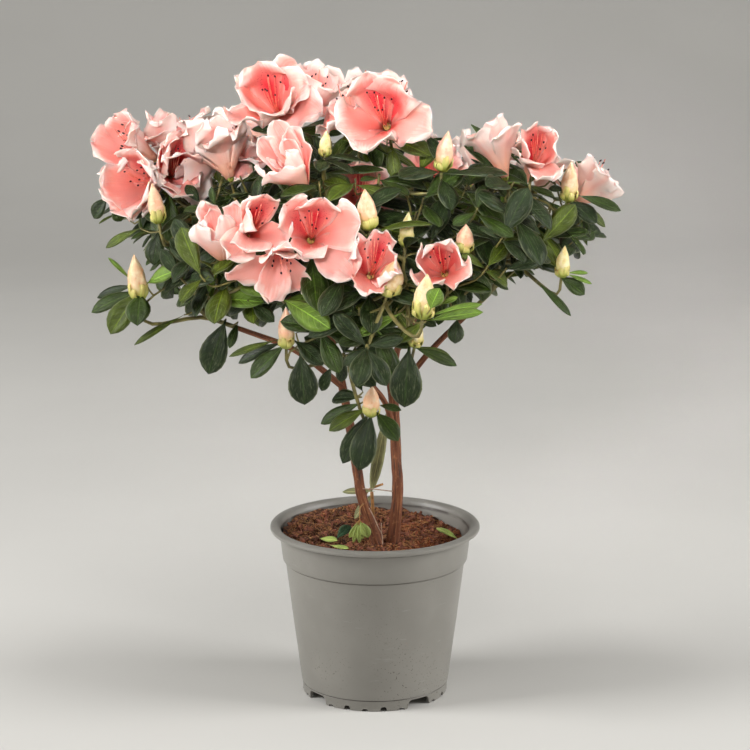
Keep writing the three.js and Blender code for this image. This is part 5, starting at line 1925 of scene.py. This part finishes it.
class AZALEA_OT_foot(bpy.types.Operator):
    """Models the pale young shoot and the fallen leaves and threads on the compost"""

    bl_idname = "azalea.foot"
    bl_label = "Foot of the plant"

    def execute(self, context):
        # a long pale leaf hangs between the stems, and two short ones stand out at the left
        shoot = [
            loose_leaf((9, -1, 186), (-2.4, -1, 127.5), 7.6, 0.0, 0.12, (0.15, -1, 0)),
            loose_leaf((0, 0, 128), (-21, 2, 128), 5.5),
            loose_leaf((-1, 0, 127), (-14, 0, 110), 6),
        ]
        # leaflets droop from a thin orange stalk in front of the left stem
        knot = np.array([-9.5, -23, 119])
        hanging = [
            ((-3.6, -24, 105), 6.5), ((-9.6, -25, 101.5), 3), ((-13.4, -24, 101.5), 3.2),
            ((-16, -22, 104), 3.6), ((-7.4, -22, 103), 2.6),
        ]
        below = knot - (0, 0, 3)
        leaflets = [loose_leaf(below, to, width, 0.05, 0.35, (0.1, -1, 0.2)) for to, width in hanging]
        fallen = [
            loose_leaf((-35, -13, 101.4), (-23, -18, 102), 6, 0.05, 0.15, (0, -0.4, 1)),
            loose_leaf((-28, -26, 101), (-16, -33, 101), 5, 0.02, 0.1, (0, -0.2, 1)),
            loose_leaf((52, -8, 99), (38, 14, 102), 5.5, 0.06, 0.25, (0, -0.4, 1)),
        ]
        dark = [loose_leaf((-24, -15, 101.5), (-15, -5, 108), 7, 0.05, 0.3, (0, -0.7, 1))]
        looks = {
            "foot_sprout_leaves": ("young shoot leaf, pale", "young shoot leaf, underside", "#8E8D62", 0.5),
            "foot_leaflets": ("fallen leaf, yellow green", "fallen leaf, underside", "#A3B45E", 0.5),
            "foot_dark_leaf": ("fallen leaf, dark", "fallen leaf, dark underside", "#2F4A33", 0.4),
        }
        for (name, (top, under, tone, gloss)), leaves in zip(looks.items(), (shoot, leaflets + fallen, dark)):
            colour = linear(tone)
            piece = leaves_object(name, leaves)
            seat(piece, [leaf_top(top, colour, gloss), leaf_under(under, colour)], ["foot_sprout"])

        stalks = Heap()
        self.strand(stalks, [(-7, -9, 123), (-4, 3, 128), (5, 6, 131)], 8, 0.9, 8, 0.2)
        self.strand(stalks, [(-7, -14, 124), (-9, -19, 123), knot], 6, 0.4, 6)
        for to, _ in hanging:
            stalks.add(*tube([knot, below, knot + (to - knot) * 0.35], lambda t: 0.35 - 0.1 * t, 5))
        self.strand(stalks, [(-2, -2, 128), (-1.5, -2, 120), (-1, -1, 112)], 5, 1.1, 8)
        piece = stalks.make("foot_twigs")
        skin = mottled("young stalk, orange brown", linear("#A87742"), 0.55)
        seat(piece, [skin], ["foot_sprout"])

        roots = Heap()
        drooping = [(-3.6, -17, 122), (-0.6, -17, 116), (2.4, -17.5, 109), (4.1, -18, 106), (4.7, -18, 98)]
        self.strand(roots, drooping, 14, 0.3, 5)
        self.strand(roots, [(4.1, -18, 106), (3.9, -17.6, 110), (3.9, -17, 112.5)], 5, 0.22, 5)
        self.strand(roots, [(-9, -12, 133), (0, -12, 132.5), (11, -11, 131)], 8, 0.35, 5)
        piece = roots.make("dry_threads")
        seat(piece, [mottled("dry root thread, straw", linear("#B89C86"), 0.6)])
        return {"FINISHED"}

    @staticmethod
    def strand(heap, path, count, radius, sides, taper=0.0):
        """Adds a thin stalk or root along a path, a little thinner at its end."""
        heap.add(*tube(spaced_points(path, count), lambda t: radius - taper * t, sides))


# Stage


FLOOR_SIZE = (8, 6, 1)
BACKDROP_HEIGHT = 3
BACKDROP_BEND = 1.5
AIR_STRENGTH = 0.22
# each light's place, the height it aims at, its size, the spread of its beam and its power
LIGHTS = {
    "left_light": ((-1.75, -0.35, 1.05), 0.22, 0.9, 180, 33),
    "right_light": ((1.8, -0.3, 0.9), 0.22, 0.9, 180, 29),
    "top_light": ((0.05, -0.7, 1.8), 0.22, 1.0, 180, 8),
    "crown_light": ((-0.2, -1.5, 0.85), 0.38, 0.3, 16, 0.4),
}


class AZALEA_OT_stage(bpy.types.Operator):
    """Sets the pale floor, the soft lights and the camera"""

    bl_idname = "azalea.stage"
    bl_label = "Stage"

    def execute(self, context):
        deselect()
        bpy.ops.mesh.primitive_plane_add(size=1, location=(0, 0, 0))
        floor = context.object
        floor.name = "studio_floor"
        floor.scale = FLOOR_SIZE
        apply_place(floor)
        bpy.ops.object.mode_set(mode="EDIT")
        select_edges(floor, lambda a, b: a.y > 0 and b.y > 0)
        bpy.ops.mesh.extrude_region_move(TRANSFORM_OT_translate={"value": (0, 0, BACKDROP_HEIGHT)})
        select_edges(floor, lambda a, b: a.y > 0 and b.y > 0 and abs(a.z) < 1e-6 and abs(b.z) < 1e-6)
        bpy.ops.mesh.bevel(offset=BACKDROP_BEND, segments=16)
        bpy.ops.object.mode_set(mode="OBJECT")
        smooth(floor, 60)
        paper = mottled("studio paper, pale", tuple(context.scene.azalea_colours.floor), 0.8, 0.02, 3)
        floor.data.materials.append(paper)
        for name, (place, aim, size, spread, power) in LIGHTS.items():
            light = bpy.data.lights.new(name, "AREA")
            light.energy, light.size, light.spread = power, size, math.radians(spread)
            lamp = bpy.data.objects.new(name, light)
            lamp.location = place
            lamp.rotation_euler = (Vector((0, 0, aim)) - Vector(place)).to_track_quat("-Z", "Y").to_euler()
            context.scene.collection.objects.link(lamp)
        world = bpy.data.worlds.new("studio_air")
        world.use_nodes = True
        air = world.node_tree.nodes["Background"].inputs
        air["Color"].default_value = linear("#F1EFEA")
        air["Strength"].default_value = AIR_STRENGTH
        context.scene.world = world
        camera = bpy.data.cameras.new("camera")
        camera.lens, camera.sensor_width = CAMERA_LENS, CAMERA_SENSOR
        eye = bpy.data.objects.new("camera", camera)
        eye.location = CAMERA_PLACE
        eye.rotation_euler = (math.radians(90 - CAMERA_PITCH), 0, 0)
        context.scene.collection.objects.link(eye)
        context.scene.camera = eye
        context.scene.view_settings.view_transform = "Standard"
        return {"FINISHED"}


OPERATORS = (
    AZALEA_OT_pot,
    AZALEA_OT_compost,
    AZALEA_OT_limbs,
    AZALEA_OT_twigs,
    AZALEA_OT_leaves,
    AZALEA_OT_blooms,
    AZALEA_OT_buds,
    AZALEA_OT_foot,
    AZALEA_OT_stage,
)


class AZALEA_PT_panel(bpy.types.Panel):
    """Lists the azalea's pieces, sizes and colours"""

    bl_idname = "AZALEA_PT_panel"
    bl_label = "Azalea"
    bl_space_type = "VIEW_3D"
    bl_region_type = "UI"
    bl_category = "Azalea"

    def draw(self, context):
        column = self.layout.column()
        for operator in OPERATORS:
            column.operator(operator.bl_idname)
        for group in (context.scene.azalea_sizes, context.scene.azalea_colours):
            for name in group.bl_rna.properties.keys():
                if name not in ("rna_type", "name"):
                    column.prop(group, name)


CLASSES = (AzaleaSizes, AzaleaColours, *OPERATORS, AZALEA_PT_panel)


def register():
    for kind in CLASSES:
        bpy.utils.register_class(kind)
    bpy.types.Scene.azalea_sizes = bpy.props.PointerProperty(type=AzaleaSizes)
    bpy.types.Scene.azalea_colours = bpy.props.PointerProperty(type=AzaleaColours)


def unregister():
    del bpy.types.Scene.azalea_colours
    del bpy.types.Scene.azalea_sizes
    for kind in reversed(CLASSES):
        bpy.utils.unregister_class(kind)


def main():
    register()
    bpy.ops.azalea.pot()
    bpy.ops.azalea.compost()
    bpy.ops.azalea.limbs()
    bpy.ops.azalea.twigs()
    bpy.ops.azalea.leaves()
    bpy.ops.azalea.blooms()
    bpy.ops.azalea.buds()
    bpy.ops.azalea.foot()
    bpy.ops.azalea.stage()


if __name__ == "__main__":
    main()
